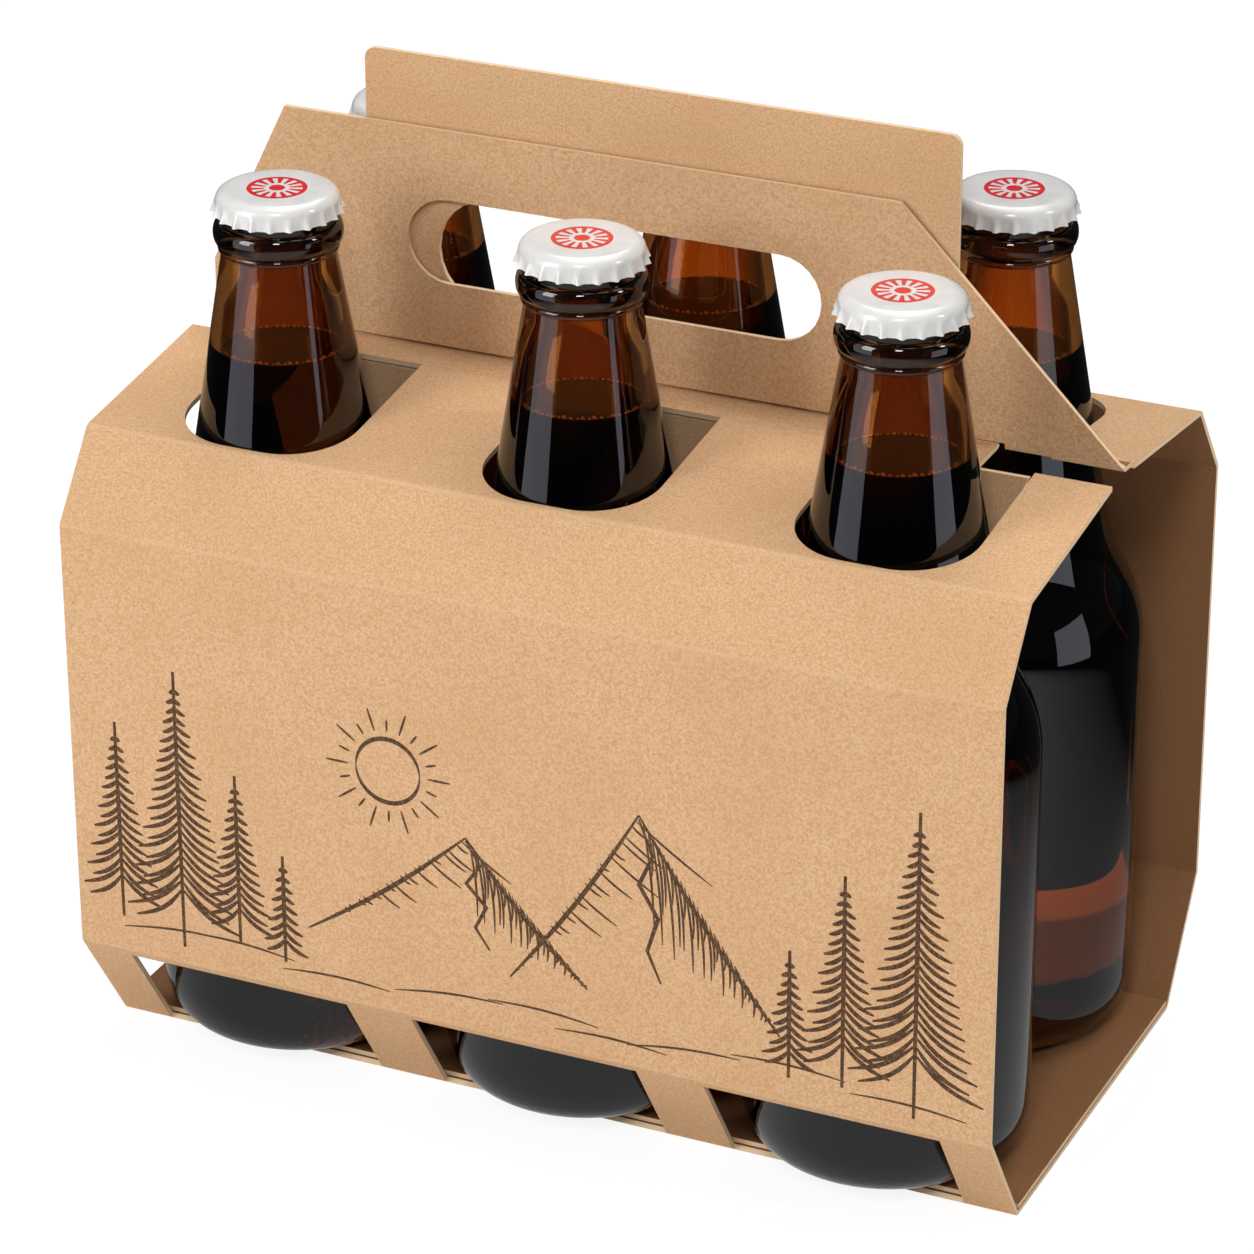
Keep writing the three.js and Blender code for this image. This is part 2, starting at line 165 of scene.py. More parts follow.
@dataclass(frozen=True)
class Finish:
    """A surface finish, wired once into a material of its own name.

    Its relief is a depth in mm and the share of it that shows.
    """

    name: str
    roughness: float
    relief: Point = (0.0, 0.0)

    def material(self) -> bpy.types.Material:
        """The finish's material, made on first use.

        Returns:
            The material with its node tree wired.
        """
        found = bpy.data.materials.get(self.name)
        if found:
            return found
        made = bpy.data.materials.new(self.name)
        made.use_nodes = True
        tree = made.node_tree
        tree.nodes.clear()
        shader = add_node(tree, "ShaderNodeBsdfPrincipled", {"Roughness": self.roughness})
        add_node(tree, "ShaderNodeOutputMaterial", links={"Surface": shader.outputs[0]})
        height = self.wire(tree, shader)
        if height is not None:
            depth, strength = self.relief
            values = {"Strength": strength, "Distance": depth * MM}
            bump = add_node(tree, "ShaderNodeBump", values, {"Height": height})
            tree.links.new(bump.outputs[0], shader.inputs["Normal"])
        return made

    def wire(self, tree: Tree, shader: bpy.types.Node) -> Socket | None:
        """Wires the finish's own colour and gloss into the shader.

        Args:
            tree: Node tree of the material.
            shader: Shader that takes the finish.

        Returns:
            The output that gives the height of the relief, for a finish that has one.
        """
        raise NotImplementedError

    def pattern(self, tree: Tree, grain: float, detail: float = 2.0, stretch: Point | None = None) -> Socket:
        """An uneven pattern that runs through the piece.

        Args:
            tree: Node tree of the material.
            grain: Size of the pattern in mm.
            detail: Octaves of finer pattern.
            stretch: How many times longer the grain is along X and along Z.

        Returns:
            The pattern's value.
        """
        source = add_node(tree, "ShaderNodeTexCoord").outputs["Object"]
        if stretch:
            scale = (1 / stretch[0], 1.0, 1 / stretch[1])
            source = add_node(tree, "ShaderNodeMapping", {"Scale": scale}, {"Vector": source}).outputs[0]
        values = {"Scale": 1 / (grain * MM), "Detail": detail}
        return add_node(tree, "ShaderNodeTexNoise", values, {"Vector": source}).outputs[0]

    def over(
        self,
        tree: Tree,
        below: str | Socket,
        above: str,
        where: Socket,
        span: Point,
        share: Point = (0.0, 1.0),
    ) -> Socket:
        """Lays one colour over another by a value.

        Args:
            tree: Node tree of the material.
            below: Lower colour, as a hex code or an output.
            above: Hex code of the upper colour.
            where: Output that gives the value.
            span: Two values between which the cover changes smoothly.
            share: Cover of the upper colour at those two values.

        Returns:
            The colour's output.
        """
        cover = add_node(tree, "ShaderNodeMapRange", spans(span, share), {"Value": where}, **SMOOTH)
        values, links = {MIX_B: linear(above)}, {MIX_FACTOR: cover.outputs[0]}
        if isinstance(below, str):
            values[MIX_A] = linear(below)
        else:
            links[MIX_A] = below
        return add_node(tree, "ShaderNodeMix", values, links, data_type="RGBA").outputs[MIX_RESULT]


@dataclass(frozen=True)
class KraftBoard(Finish):
    """Unbleached kraft board, pressed from wood fibre between rollers and die-cut.

    It gives a matt, mottled tan with a few dark fibres, a painted highlight on its cut edge and along its
    creases, and deeper on its inner side.
    """

    relief: Point = (0.06, 0.35)
    pale: str = "deb78f"
    deep: str = "c99c71"
    fleck: str = "a27a52"
    cut_edge_highlight: str = "efd2ad"
    reverse: str = "7c4c26"
    crease_highlight: str = "eccaa4"
    ink: str | None = None
    # Real fibres are far finer than a pixel, so the grain is drawn as coarse as it needs to show
    fibre: float = 0.48
    cloud: float = 24.0
    hair: float = 0.55
    hair_stretch: Point = (3.0, 1.0)
    gloss: float = 0.2

    def wire(self, tree: Tree, shader: bpy.types.Node) -> Socket:
        """Wires mottled fibre, flecks, a painted highlight along the creases, any ink, the inner side and a
        painted highlight on the cut edge.

        Args:
            tree: Node tree of the material.
            shader: Shader that takes the finish.

        Returns:
            The fibre's height.
        """
        grain = self.pattern(tree, self.fibre, detail=3.0)
        cloud = self.pattern(tree, self.cloud, detail=3.0)
        hairs = self.pattern(tree, self.hair, detail=1.0, stretch=self.hair_stretch)
        crease = add_node(tree, "ShaderNodeAttribute", attribute_name="crease").outputs["Fac"]
        ply = add_node(tree, "ShaderNodeAttribute", attribute_name="ply").outputs["Fac"]
        sheet = self.over(tree, self.pale, self.deep, grain, (0.3, 0.7))
        sheet = self.over(tree, sheet, self.deep, cloud, (0.35, 0.8), (0.0, 0.35))
        sheet = self.over(tree, sheet, self.fleck, hairs, (0.68, 0.8), (0.0, 0.45))
        # Painted highlight: the creases are painted paler where light catches their round.
        sheet = self.over(tree, sheet, self.crease_highlight, crease, (0.0, 1.0), (0.0, 0.15))
        if self.ink:
            sheet = self.over(tree, sheet, self.ink, grain, (0.38, 0.75), (0.97, 0.75))
        sheet = self.over(tree, sheet, self.reverse, ply, (0.85, 1.0), (0.0, 0.8))
        # The ply value runs from the outer face to the inner one, so its middle is the cut edge
        offset = add_node(tree, "ShaderNodeMath", {1: 0.5}, {0: ply}, operation="SUBTRACT").outputs[0]
        depth = add_node(tree, "ShaderNodeMath", links={0: offset}, operation="ABSOLUTE").outputs[0]
        # Painted highlight: the cut edge is painted pale where light catches it.
        colour = self.over(tree, sheet, self.cut_edge_highlight, depth, (0.34, 0.48), (0.85, 0.0))
        tree.links.new(colour, shader.inputs["Base Color"])
        shader.inputs["Specular IOR Level"].default_value = self.gloss
        return grain


@dataclass(frozen=True)
class AmberGlass(Finish):
    """Brown bottle glass, blown in a mould.

    It gives a clear, glossy amber with slow waves, nearly black where it is thick or seen edge-on, and a
    stippled heel.
    """

    relief: Point = (0.25, 0.1)
    tint: str = "b57436"
    thick: str = "240f05"
    index: float = 1.52
    wave: float = 22.0
    stipple: float = 1.6
    stipple_top: float = 7.0
    stipple_full: float = 4.2
    stipple_height: float = 3.0
    base_top: float = 17.0
    neck_span: Point = (110.0, 140.0)
    rim_span: Point = (0.12, 0.42)
    rim_share: float = 0.95
    collar_foot: float = 180.0
    blend: float = 1.6
    thick_share: float = 0.9

    def wire(self, tree: Tree, shader: bpy.types.Node) -> Socket:
        """Wires the clear tinted body, darker where it is thick, the mould's waves and the stippled heel.

        Args:
            tree: Node tree of the material.
            shader: Shader that takes the finish.

        Returns:
            The height of the waves and the stipple.
        """
        shader.inputs["IOR"].default_value = self.index
        shader.inputs["Transmission Weight"].default_value = 1.0
        waves = self.pattern(tree, self.wave, detail=1.0)
        coords = add_node(tree, "ShaderNodeTexCoord").outputs["Object"]
        height = add_node(tree, "ShaderNodeSeparateXYZ", links={0: coords}).outputs["Z"]
        facing = add_node(tree, "ShaderNodeLayerWeight").outputs["Facing"]
        slant, neck, foot = (
            add_node(tree, "ShaderNodeMapRange", spans(span, share), {"Value": source}, **SMOOTH).outputs[0]
            for source, span, share in (
                (facing, self.rim_span, (0.0, self.rim_share)),
                (height, (self.neck_span[0] * MM, self.neck_span[1] * MM), (0.0, 1.0)),
                (height, (self.stipple_top * MM, self.stipple_full * MM), (0.0, self.stipple_height)),
            )
        )
        rim = add_node(tree, "ShaderNodeMath", links={0: slant, 1: neck}, operation="MULTIPLY").outputs[0]
        values = {MIX_A: linear(self.tint), MIX_B: linear(self.thick)}
        mixed = add_node(tree, "ShaderNodeMix", values, {MIX_FACTOR: rim}, data_type="RGBA")
        colour = mixed.outputs[MIX_RESULT]
        for start, way in ((self.collar_foot, 1), (self.base_top, -1)):
            span = (start * MM, (start + way * self.blend) * MM)
            colour = self.over(tree, colour, self.thick, height, span, (0.0, self.thick_share))
        tree.links.new(colour, shader.inputs["Base Color"])
        values = {"Scale": 1 / (self.stipple * MM)}
        dots = add_node(tree, "ShaderNodeTexVoronoi", values, {"Vector": coords}).outputs[0]
        knurl = add_node(tree, "ShaderNodeMath", links={0: foot, 1: dots}, operation="MULTIPLY").outputs[0]
        return add_node(tree, "ShaderNodeMath", links={0: waves, 1: knurl}, operation="ADD").outputs[0]


@dataclass(frozen=True)
class WettedGlass(Finish):
    """Inside of the glass below the beer's level.

    Beer bends light nearly as glass does, so the eye sees no face there.
    """

    index: float = 1.001

    def wire(self, tree: Tree, shader: bpy.types.Node) -> None:
        """Wires a face that lets all light straight through.

        Args:
            tree: Node tree of the material.
            shader: Shader that takes the finish.
        """
        values = {"Base Color": linear("ffffff"), "IOR": self.index, "Transmission Weight": 1.0}
        for socket, value in values.items():
            shader.inputs[socket].default_value = value


@dataclass(frozen=True)
class Beer(Finish):
    """Dark beer, a clear liquid with a still top.

    It gives almost black high in the bottle and a warm brown lower down, painted light that stands in for
    light shining through the lower body.
    """

    tint: str = "a87a50"
    deep: str = "3c2818"
    painted_light_span: Point = (70.0, 130.0)
    cloud: float = 30.0
    cloud_share: float = 0.3
    index: float = 1.001

    def wire(self, tree: Tree, shader: bpy.types.Node) -> None:
        """Wires a clear body that darkens upwards, painted lighter low down where light shines through, and
        darkens in slow clouds.

        Args:
            tree: Node tree of the material.
            shader: Shader that takes the finish.
        """
        coords = add_node(tree, "ShaderNodeTexCoord").outputs["Object"]
        height = add_node(tree, "ShaderNodeSeparateXYZ", links={0: coords}).outputs["Z"]
        clouds = self.pattern(tree, self.cloud)
        colour = self.over(tree, self.tint, self.deep, clouds, (0.3, 0.7), (0.0, self.cloud_share))
        # Painted light: the lower beer is tinted warm and pale to stand in for light shining through it.
        rise = (self.painted_light_span[0] * MM, self.painted_light_span[1] * MM)
        tree.links.new(self.over(tree, colour, self.deep, height, rise), shader.inputs["Base Color"])
        shader.inputs["IOR"].default_value = self.index
        shader.inputs["Transmission Weight"].default_value = 1.0


@dataclass(frozen=True)
class Froth(Finish):
    """Bubbles left along the glass at the beer's edge.

    They show as a fine bright line through a painted glow, since lamp light does not reach them through the
    glass.
    """

    tint: str = "ffd9a0"
    shade: str = "d89a4e"
    skin: float = 1.5
    painted_glow: float = 0.11
    clearness: float = 0.2

    def wire(self, tree: Tree, shader: bpy.types.Node) -> None:
        """Wires amber skins that let a little light through and carry a painted glow.

        Args:
            tree: Node tree of the material.
            shader: Shader that takes the finish.
        """
        colour = self.over(tree, self.tint, self.shade, self.pattern(tree, self.skin), (0.3, 0.7), (0.0, 0.6))
        tree.links.new(colour, shader.inputs["Base Color"])
        # Painted light: the froth glows in its own colour, in place of lamp light that the glass keeps from
        # it.
        tree.links.new(colour, shader.inputs["Emission Color"])
        shader.inputs["Emission Strength"].default_value = self.painted_glow
        shader.inputs["Transmission Weight"].default_value = self.clearness


@dataclass(frozen=True)
class Enamel(Finish):
    """Stoving enamel on tinplate, rolled on before pressing.

    It gives a smooth, even colour under a clear gloss coat with soft highlights.
    """

    relief: Point = (0.02, 0.2)
    tint: str = "e1e0de"
    shade: str = "d9d8d5"
    uneven: float = 4.0
    ripple: float = 0.9
    coat: Point = (0.5, 0.12)

    def wire(self, tree: Tree, shader: bpy.types.Node) -> Socket:
        """Wires the enamel's faint unevenness and its clear coat.

        Args:
            tree: Node tree of the material.
            shader: Shader that takes the finish.

        Returns:
            The height of its ripple.
        """
        colour = self.over(tree, self.tint, self.shade, self.pattern(tree, self.uneven), (0.3, 0.75))
        tree.links.new(colour, shader.inputs["Base Color"])
        shader.inputs["Coat Weight"].default_value, shader.inputs["Coat Roughness"].default_value = self.coat
        return self.pattern(tree, self.ripple)


@dataclass(frozen=True)
class Sealant(Finish):
    """Sealing liner of soft grey plastic, moulded in the cap by a punch.

    It gives a matt grey with the punch's faint orange peel.
    """

    relief: Point = (0.03, 0.2)
    tint: str = "d8d8d2"
    shade: str = "bdbdb6"
    peel: float = 0.8

    def wire(self, tree: Tree, shader: bpy.types.Node) -> Socket:
        """Wires the punch's orange peel.

        Args:
            tree: Node tree of the material.
            shader: Shader that takes the finish.

        Returns:
            The height of the peel.
        """
        peel = self.pattern(tree, self.peel)
        colour = self.over(tree, self.tint, self.shade, peel, (0.3, 0.7), (0.0, 0.4))
        tree.links.new(colour, shader.inputs["Base Color"])
        return peel


# The same board bare, and under one brown ink
KRAFT = KraftBoard("unbleached_kraft", 0.85)
PRINTED_KRAFT = KraftBoard("printed_kraft", 0.8, ink="3e2717")
# Glass dry and wet, and beer with the bend of its free top and without
GLASS = AmberGlass("blown_amber_glass", 0.02)
WETTED_GLASS = WettedGlass("wetted_glass", 0.0)
BEER = Beer("dark_beer", 0.0)
BEER_LEVEL = Beer("beer_level", 0.0, index=1.34)
FROTH = Froth("beer_froth", 0.1)
# Caps: white enamel, a red sunburst printed in the same enamel, and the liner inside
WHITE_ENAMEL = Enamel("white_enamel", 0.28)
RED_ENAMEL = Enamel("red_enamel", 0.28, tint="e0202a", shade="d01a24")
SEALANT = Sealant("moulded_sealant", 0.6)


def seat(piece: bpy.types.Object, slot: Slot, nodes: Sequence[str], bodies: Sequence[str]) -> None:
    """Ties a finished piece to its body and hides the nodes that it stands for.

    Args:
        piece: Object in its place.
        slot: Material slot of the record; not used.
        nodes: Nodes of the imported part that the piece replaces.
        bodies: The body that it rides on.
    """
    if nodes:
        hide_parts(*nodes)
    for body in bodies:
        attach(piece, body)
    LOG.info("%s: %d faces", piece.name, len(piece.data.polygons))


def add_object(name: str, mesh: bpy.types.Mesh, place: Vector | None = None) -> bpy.types.Object:
    """Links a mesh into the scene.

    Args:
        name: Name of the object.
        mesh: Its mesh.
        place: Where it stands, in mm.

    Returns:
        The new object.
    """
    made = bpy.data.objects.new(name, mesh)
    made.location = (place or Vector()) * MM
    bpy.context.scene.collection.objects.link(made)
    return made


@dataclass(frozen=True)
class Span:
    """One straight or bent stretch of a fold line: start, way and turn."""

    begin: float
    length: float
    start: Vector
    way: Vector
    turn: float


@dataclass(frozen=True)
class FoldLine:
    """Section of a folded board: the line of its convex face in Y and Z, bent left at rounded creases."""

    corners: tuple[Point, ...]
    radius: float = 2.0
    steps: int = 6

    @cached_property
    def spans(self) -> list[Span]:
        """Straight stretches and bends in the order of the line.

        Returns:
            The spans, each with its start along the flat board.
        """
        points = [Vector(corner) for corner in self.corners]
        ways = [(after - before).normalized() for before, after in zip(points, points[1:])]
        spans: list[Span] = []
        at, start = 0.0, points[0]
        for corner, way, after in zip(points[1:], ways, ways[1:] + [ways[-1]]):
            turn = math.atan2(way.cross(after), way.dot(after))
            stop = corner - way * self.radius * math.tan(turn / 2)
            length = (stop - start).length
            spans.append(Span(at, length, start, way, 0.0))
            at += length
            if turn:
                spans.append(Span(at, self.radius * turn, stop, way, turn))
                at += self.radius * turn
            start = corner + after * self.radius * math.tan(turn / 2)
        return spans

    @property
    def length(self) -> float:
        """Length of the flat board."""
        return self.spans[-1].begin + self.spans[-1].length

    @property
    def bends(self) -> list[Span]:
        """The bent stretches."""
        return [span for span in self.spans if span.turn]

    def flat(self, panel: int, distance: float) -> float:
        """Place along the flat board of a point on a panel.

        Args:
            panel: Number of the panel along the line.
            distance: Distance of the point from the panel's first corner.

        Returns:
            The place.
        """
        span = [s for s in self.spans if not s.turn][panel]
        return span.begin + distance - (Vector(self.corners[panel]) - span.start).length

    def crease(self, number: int) -> float:
        """Place along the flat board of the middle of a bend."""
        return self.bends[number].begin + self.bends[number].length / 2

    def section(self, at: float) -> tuple[Vector, Vector, float]:
        """Point of the convex face at a place along the flat board.

        Args:
            at: Place along the flat board.

        Returns:
            The point and the outward normal, in Y and Z, and how deep in a crease it lies from 0 to 1.
        """
        span = next((s for s in self.spans if at <= s.begin + s.length), self.spans[-1])
        normal = Vector((span.way.y, -span.way.x))
        if not span.turn:
            return span.start + span.way * (at - span.begin), normal, 0.0
        share = (at - span.begin) / span.length
        turned = Matrix.Rotation(span.turn * share, 2) @ normal
        centre = span.start - normal * self.radius
        return centre + turned * self.radius, turned, math.sin(math.pi * min(max(share, 0.0), 1.0))


def within(point: Point, loop: Loop) -> bool:
    """Whether a point lies inside a closed loop.

    Args:
        point: Point to test.
        loop: Corners of the loop.

    Returns:
        True for a point inside.
    """
    x, y = point
    inside = False
    for (x0, y0), (x1, y1) in zip(loop, loop[1:] + loop[:1]):
        if (y0 > y) != (y1 > y) and x < x0 + (y - y0) / (y1 - y0) * (x1 - x0):
            inside = not inside
    return inside


class LoopSet:
    """Closed loops with their bounds, for quick tests of many points."""

    def __init__(self, loops: Sequence[Loop]) -> None:
        """Notes each loop's bounds.

        Args:
            loops: Closed loops.
        """
        self.loops = []
        for loop in loops:
            across, along = zip(*loop)
            self.loops.append((min(across), max(across), min(along), max(along), loop))

    def holds(self, point: Point) -> bool:
        """Whether any loop holds a point.

        Args:
            point: Point to test.

        Returns:
            True for a point inside at least one loop.
        """
        x, y = point
        return any(left <= x <= right and low <= y <= high and within(point, loop)
                   for left, right, low, high, loop in self.loops)


@dataclass
class BoardSheet:
    """A die-cut board: loops in flat coordinates (along X, along the fold line), folded along a line."""

    name: str
    fold: FoldLine
    outline: list[Loop]
    cuts: list[Loop] = field(default_factory=list)
    prints: list[Loop] = field(default_factory=list)
    thickness: float = 1.2
    face_up_inside: bool = False

    def lines(self) -> list[Loop]:
        """Fold lines that the flat mesh has to follow, across the whole sheet.

        Returns:
            One two-point line for each step of each bend.
        """
        reach = max(abs(x) for loop in self.outline for x, _ in loop)
        places = [bend.begin + bend.length * step / self.fold.steps
                  for bend in self.fold.bends for step in range(self.fold.steps + 1)]
        return [[(-reach, at), (reach, at)] for at in places]

    def flat_mesh(self) -> tuple[list[Vector], list[list[int]]]:
        """Triangles of the flat board inside its outline and outside its cuts.

        Returns:
            Flat points and the triangles that are kept.
        """
        points: list[Vector] = []
        edges: list[tuple[int, int]] = []
        for loop in self.outline + self.cuts + self.prints + self.lines():
            first = len(points)
            points.extend(Vector(p) for p in loop)
            count = len(loop)
            edges.extend((first + i, first + (i + 1) % count) for i in range(count if count > 2 else 1))
        found, _, faces, *_ = delaunay_2d_cdt(points, edges, [], 0, MERGE_DISTANCE)
        outline, cuts = LoopSet(self.outline), LoopSet(self.cuts)
        kept = []
        for face in faces:
            middle = sum((found[i] for i in face), Vector((0.0, 0.0))) / len(face)
            if outline.holds(tuple(middle)) and not cuts.holds(tuple(middle)):
                kept.append(list(face))
        return found, kept

    def build(self) -> bpy.types.Object:
        """Folds the flat mesh, gives it its thickness and cut edges, and dresses it.

        Returns:
            The finished board as an object at the origin.
        """
        found, kept = self.flat_mesh()
        mesh_data = bmesh.new()
        ply = mesh_data.verts.layers.float.new("ply")
        crease = mesh_data.verts.layers.float.new("crease")
        pairs: dict[int, tuple[bmesh.types.BMVert, bmesh.types.BMVert]] = {}
        for index in sorted({i for face in kept for i in face}):
            at, normal, bend = self.fold.section(found[index].y)
            made = []
            for depth in (0.0, 1.0):
                spot = at - normal * self.thickness * depth
                vert = mesh_data.verts.new(Vector((found[index].x, spot.x, spot.y)) * MM)
                vert[ply] = 1.0 - depth if self.face_up_inside else depth
                vert[crease] = bend * (1.0 - depth)
                made.append(vert)
            pairs[index] = (made[0], made[1])
        inked = LoopSet(self.prints)
        sides: dict[tuple[int, int], int] = {}
        for face in kept:
            outer = mesh_data.faces.new([pairs[i][0] for i in reversed(face)])
            mesh_data.faces.new([pairs[i][1] for i in face])
            middle = sum((found[i] for i in face), Vector((0.0, 0.0))) / len(face)
            outer.material_index = int(inked.holds(tuple(middle)))
            for a, b in zip(face, face[1:] + face[:1]):
                sides[(a, b)] = sides.get((a, b), 0) + 1
        for a, b in sides:
            if (b, a) not in sides:
                mesh_data.faces.new([pairs[a][0], pairs[b][0], pairs[b][1], pairs[a][1]])
        return self.finish(mesh_data)

    def finish(self, mesh_data: bmesh.types.BMesh) -> bpy.types.Object:
        """Turns the folded board into a smooth-shaded object with its materials.

        Args:
            mesh_data: The folded board.

        Returns:
            The board as an object at the origin.
        """
        bmesh.ops.recalc_face_normals(mesh_data, faces=mesh_data.faces)
        for face in mesh_data.faces:
            face.smooth = True
        mesh = bpy.data.meshes.new(self.name)
        mesh_data.to_mesh(mesh)
        mesh_data.free()
        mesh.set_sharp_from_angle(angle=math.radians(SHARP_ANGLE))
        mesh.materials.append(KRAFT.material())
        mesh.materials.append(PRINTED_KRAFT.material())
        return add_object(self.name, mesh)


def arc(centre: Point, radius: float, start: float, end: float, steps: int = 12) -> Loop:
    """Points along an arc, with its angles in degrees."""
    angles = [math.radians(start + (end - start) * i / steps) for i in range(steps + 1)]
    return [(centre[0] + radius * math.cos(a), centre[1] + radius * math.sin(a)) for a in angles]


def rectangle(left: float, right: float, low: float, high: float) -> Loop:
    """Corners of an upright rectangle."""
    return [(left, low), (right, low), (right, high), (left, high)]


def stadium(left: float, right: float, low: float, high: float) -> Loop:
    """Outline of a slot with round ends."""
    radius, middle = (high - low) / 2, (high + low) / 2
    return arc((right - radius, middle), radius, -90, 90) + arc((left + radius, middle), radius, 90, 270)


def stroke(path: Loop, width: float) -> Loop:
    """Outline of a pen stroke that swells in its middle.

    Args:
        path: Points along the stroke.
        width: Widest width of the stroke.

    Returns:
        The closed outline of the stroke.
    """
    last = len(path) - 1
    left, right = [], []
    for i, (x, y) in enumerate(path):
        run = Vector(path[min(i + 1, last)]) - Vector(path[max(i - 1, 0)])
        swell = math.sin(math.pi * (i + 0.5) / (last + 1)) ** SWELL_POWER
        side = Vector((-run.y, run.x)).normalized() * width / 2 * swell
        left.append((x + side.x, y + side.y))
        right.append((x - side.x, y - side.y))
    return left + right[::-1]


def bow(start: Point, end: Point, sag: float, steps: int = 6) -> Loop:
    """Points along a shallow bow between two points.

    Args:
        start: First point.
        end: Last point.
        sag: How far the bow stands off in its middle.
        steps: Pieces of the bow.

    Returns:
        The points.
    """
    run = Vector(end) - Vector(start)
    side = Vector((-run.y, run.x)).normalized() * sag
    shares = [i / steps for i in range(steps + 1)]
    return [tuple(Vector(start) + run * share + side * math.sin(math.pi * share)) for share in shares]


@dataclass(frozen=True)
class HillPrint:
    """One-colour line print of hills, pines and a low sun, along X and in height above the lower crease.

    A hill is its foot's height, the foot's left end, the summit and the foot's right end. A pine is its
    place, the height of its foot and its own height.
    """

    line: float = 1.1
    fine: float = 0.6
    hatches: int = 34
    slope_sag: float = -1.2
    spine: tuple[Point, ...] = (
        (0.0, 0.02), (0.05, 0.2), (0.0, 0.36), (0.07, 0.52), (0.03, 0.7), (0.08, 0.86),
    )
    bough_pitch: float = 2.6
    bough_reach: float = 0.21
    sun_place: Point = (-30.0, 58.0)
    sun_radius: float = 7.5
    rays: int = 20
    hills: tuple[tuple[float, float, Point, float], ...] = (
        (16.0, -50.0, (-12.0, 46.0), 16.0),
        (15.0, -2.0, (28.0, 60.0), 60.0),
    )
    pines: tuple[Place3, ...] = (
        (-96.0, 12.0, 44.0), (-81.0, 9.0, 62.0), (-67.0, 11.0, 38.0), (-56.0, 8.0, 24.0),
        (62.0, 8.0, 28.0), (74.0, 10.0, 46.0), (90.0, 8.0, 66.0),
    )
    grounds: int = 9
    ground_pitch: float = 21.0
    ground_length: float = 26.0

    def hill(self, foot: float, left: float, top: Point, right: float) -> list[Loop]:
        """Strokes of one hill, hatched down its right side.

        Args:
            foot: Height of the hill's foot.
            left: Left end of the foot.
            top: Summit.
            right: Right end of the foot.

        Returns:
            The strokes' outlines.
        """
        strokes = [stroke(bow(start, end, self.slope_sag), self.line)
                   for start, end in (((left, foot), top), (top, (right, foot)))]
        rise, width = top[1] - foot, right - left
        spine = [(top[0] + width * way, top[1] - rise * drop) for way, drop in self.spine]
        strokes.append(stroke(spine, self.line))
        for i in range(1, self.hatches):
            share = i / self.hatches
            start = Vector(top).lerp(Vector((right, foot)), share)
            drop = (start.y - foot) * (0.34 + 0.2 * math.sin(2.4 * i)) + 0.12 * rise * (1 - share)
            end = (start.x + 0.1 * drop, start.y - drop)
            strokes.append(stroke(bow(tuple(start), end, 0.5), self.fine))
            if i % 3:
                mark = Vector(top).lerp(Vector((left, foot)), share)
                slant = 0.3 * drop * (1 + math.sin(1.7 * i) / 2)
                end = (mark.x + 1.5 * slant, mark.y - slant)
                strokes.append(stroke(bow(tuple(mark), end, -0.3), self.fine))
        return strokes

    def pine(self, x: float, foot: float, height: float) -> list[Loop]:
        """Strokes of one pine: a trunk and drooping boughs that widen downwards.

        Args:
            x: Place of the trunk.
            foot: Height of its foot.
            height: Height of the pine.

        Returns:
            The strokes' outlines.
        """
        trunk = [(x, foot + height * share) for share in (-0.08, 0.5, 1.0)]
        strokes = [stroke(trunk, self.line)]
        count = max(6, round(height / self.bough_pitch))
        for i in range(count):
            level = foot + height * (0.1 + 0.86 * i / count)
            reach = height * self.bough_reach * (1 - i / (count + 1.5))
            for side in (-1, 1):
                tip = (x + side * reach * (1 + 0.12 * math.sin(3 * i + side)), level - reach * 0.42)
                strokes.append(stroke(bow((x, level + reach * 0.25), tip, -side * reach * 0.12), self.line))
        return strokes

    def sun(self, centre: Point, radius: float) -> list[Loop]:
        """Strokes of a low sun: a ring in two halves and rays of two lengths.

        Args:
            centre: Middle of the sun.
            radius: Radius of its ring.

        Returns:
            The strokes' outlines.
        """
        strokes = [stroke(arc(centre, radius, turn, turn + 180, 16), self.line) for turn in (0, 180)]
        for i in range(self.rays):
            angle = 2 * math.pi * i / self.rays
            way = Vector((math.cos(angle), math.sin(angle)))
            inner, outer = radius * 1.25, radius * (1.6 if i % 2 else 1.95)
            ends = [tuple(Vector(centre) + way * (inner + (outer - inner) * step / 3)) for step in range(4)]
            strokes.append(stroke(ends, self.fine))
        return strokes

    def strokes(self) -> list[Loop]:
        """All strokes: the sun, the hills, the pines and the ground under them.

        Returns:
            The strokes' outlines.
        """
        drawn = self.sun(self.sun_place, self.sun_radius)
        for hill in self.hills:
            drawn += self.hill(*hill)
        for pine in self.pines:
            drawn += self.pine(*pine)
        for i in range(self.grounds):
            x = self.pines[0][0] + self.ground_pitch * i + 5 * math.sin(5 * i)
            start = (x, 6 + 2.2 * math.sin(2 * i))
            end = (x + self.ground_length, 6.5 + 2 * math.sin(2 * i + 1))
            drawn.append(stroke(bow(start, end, 0.8), self.fine))
        return drawn


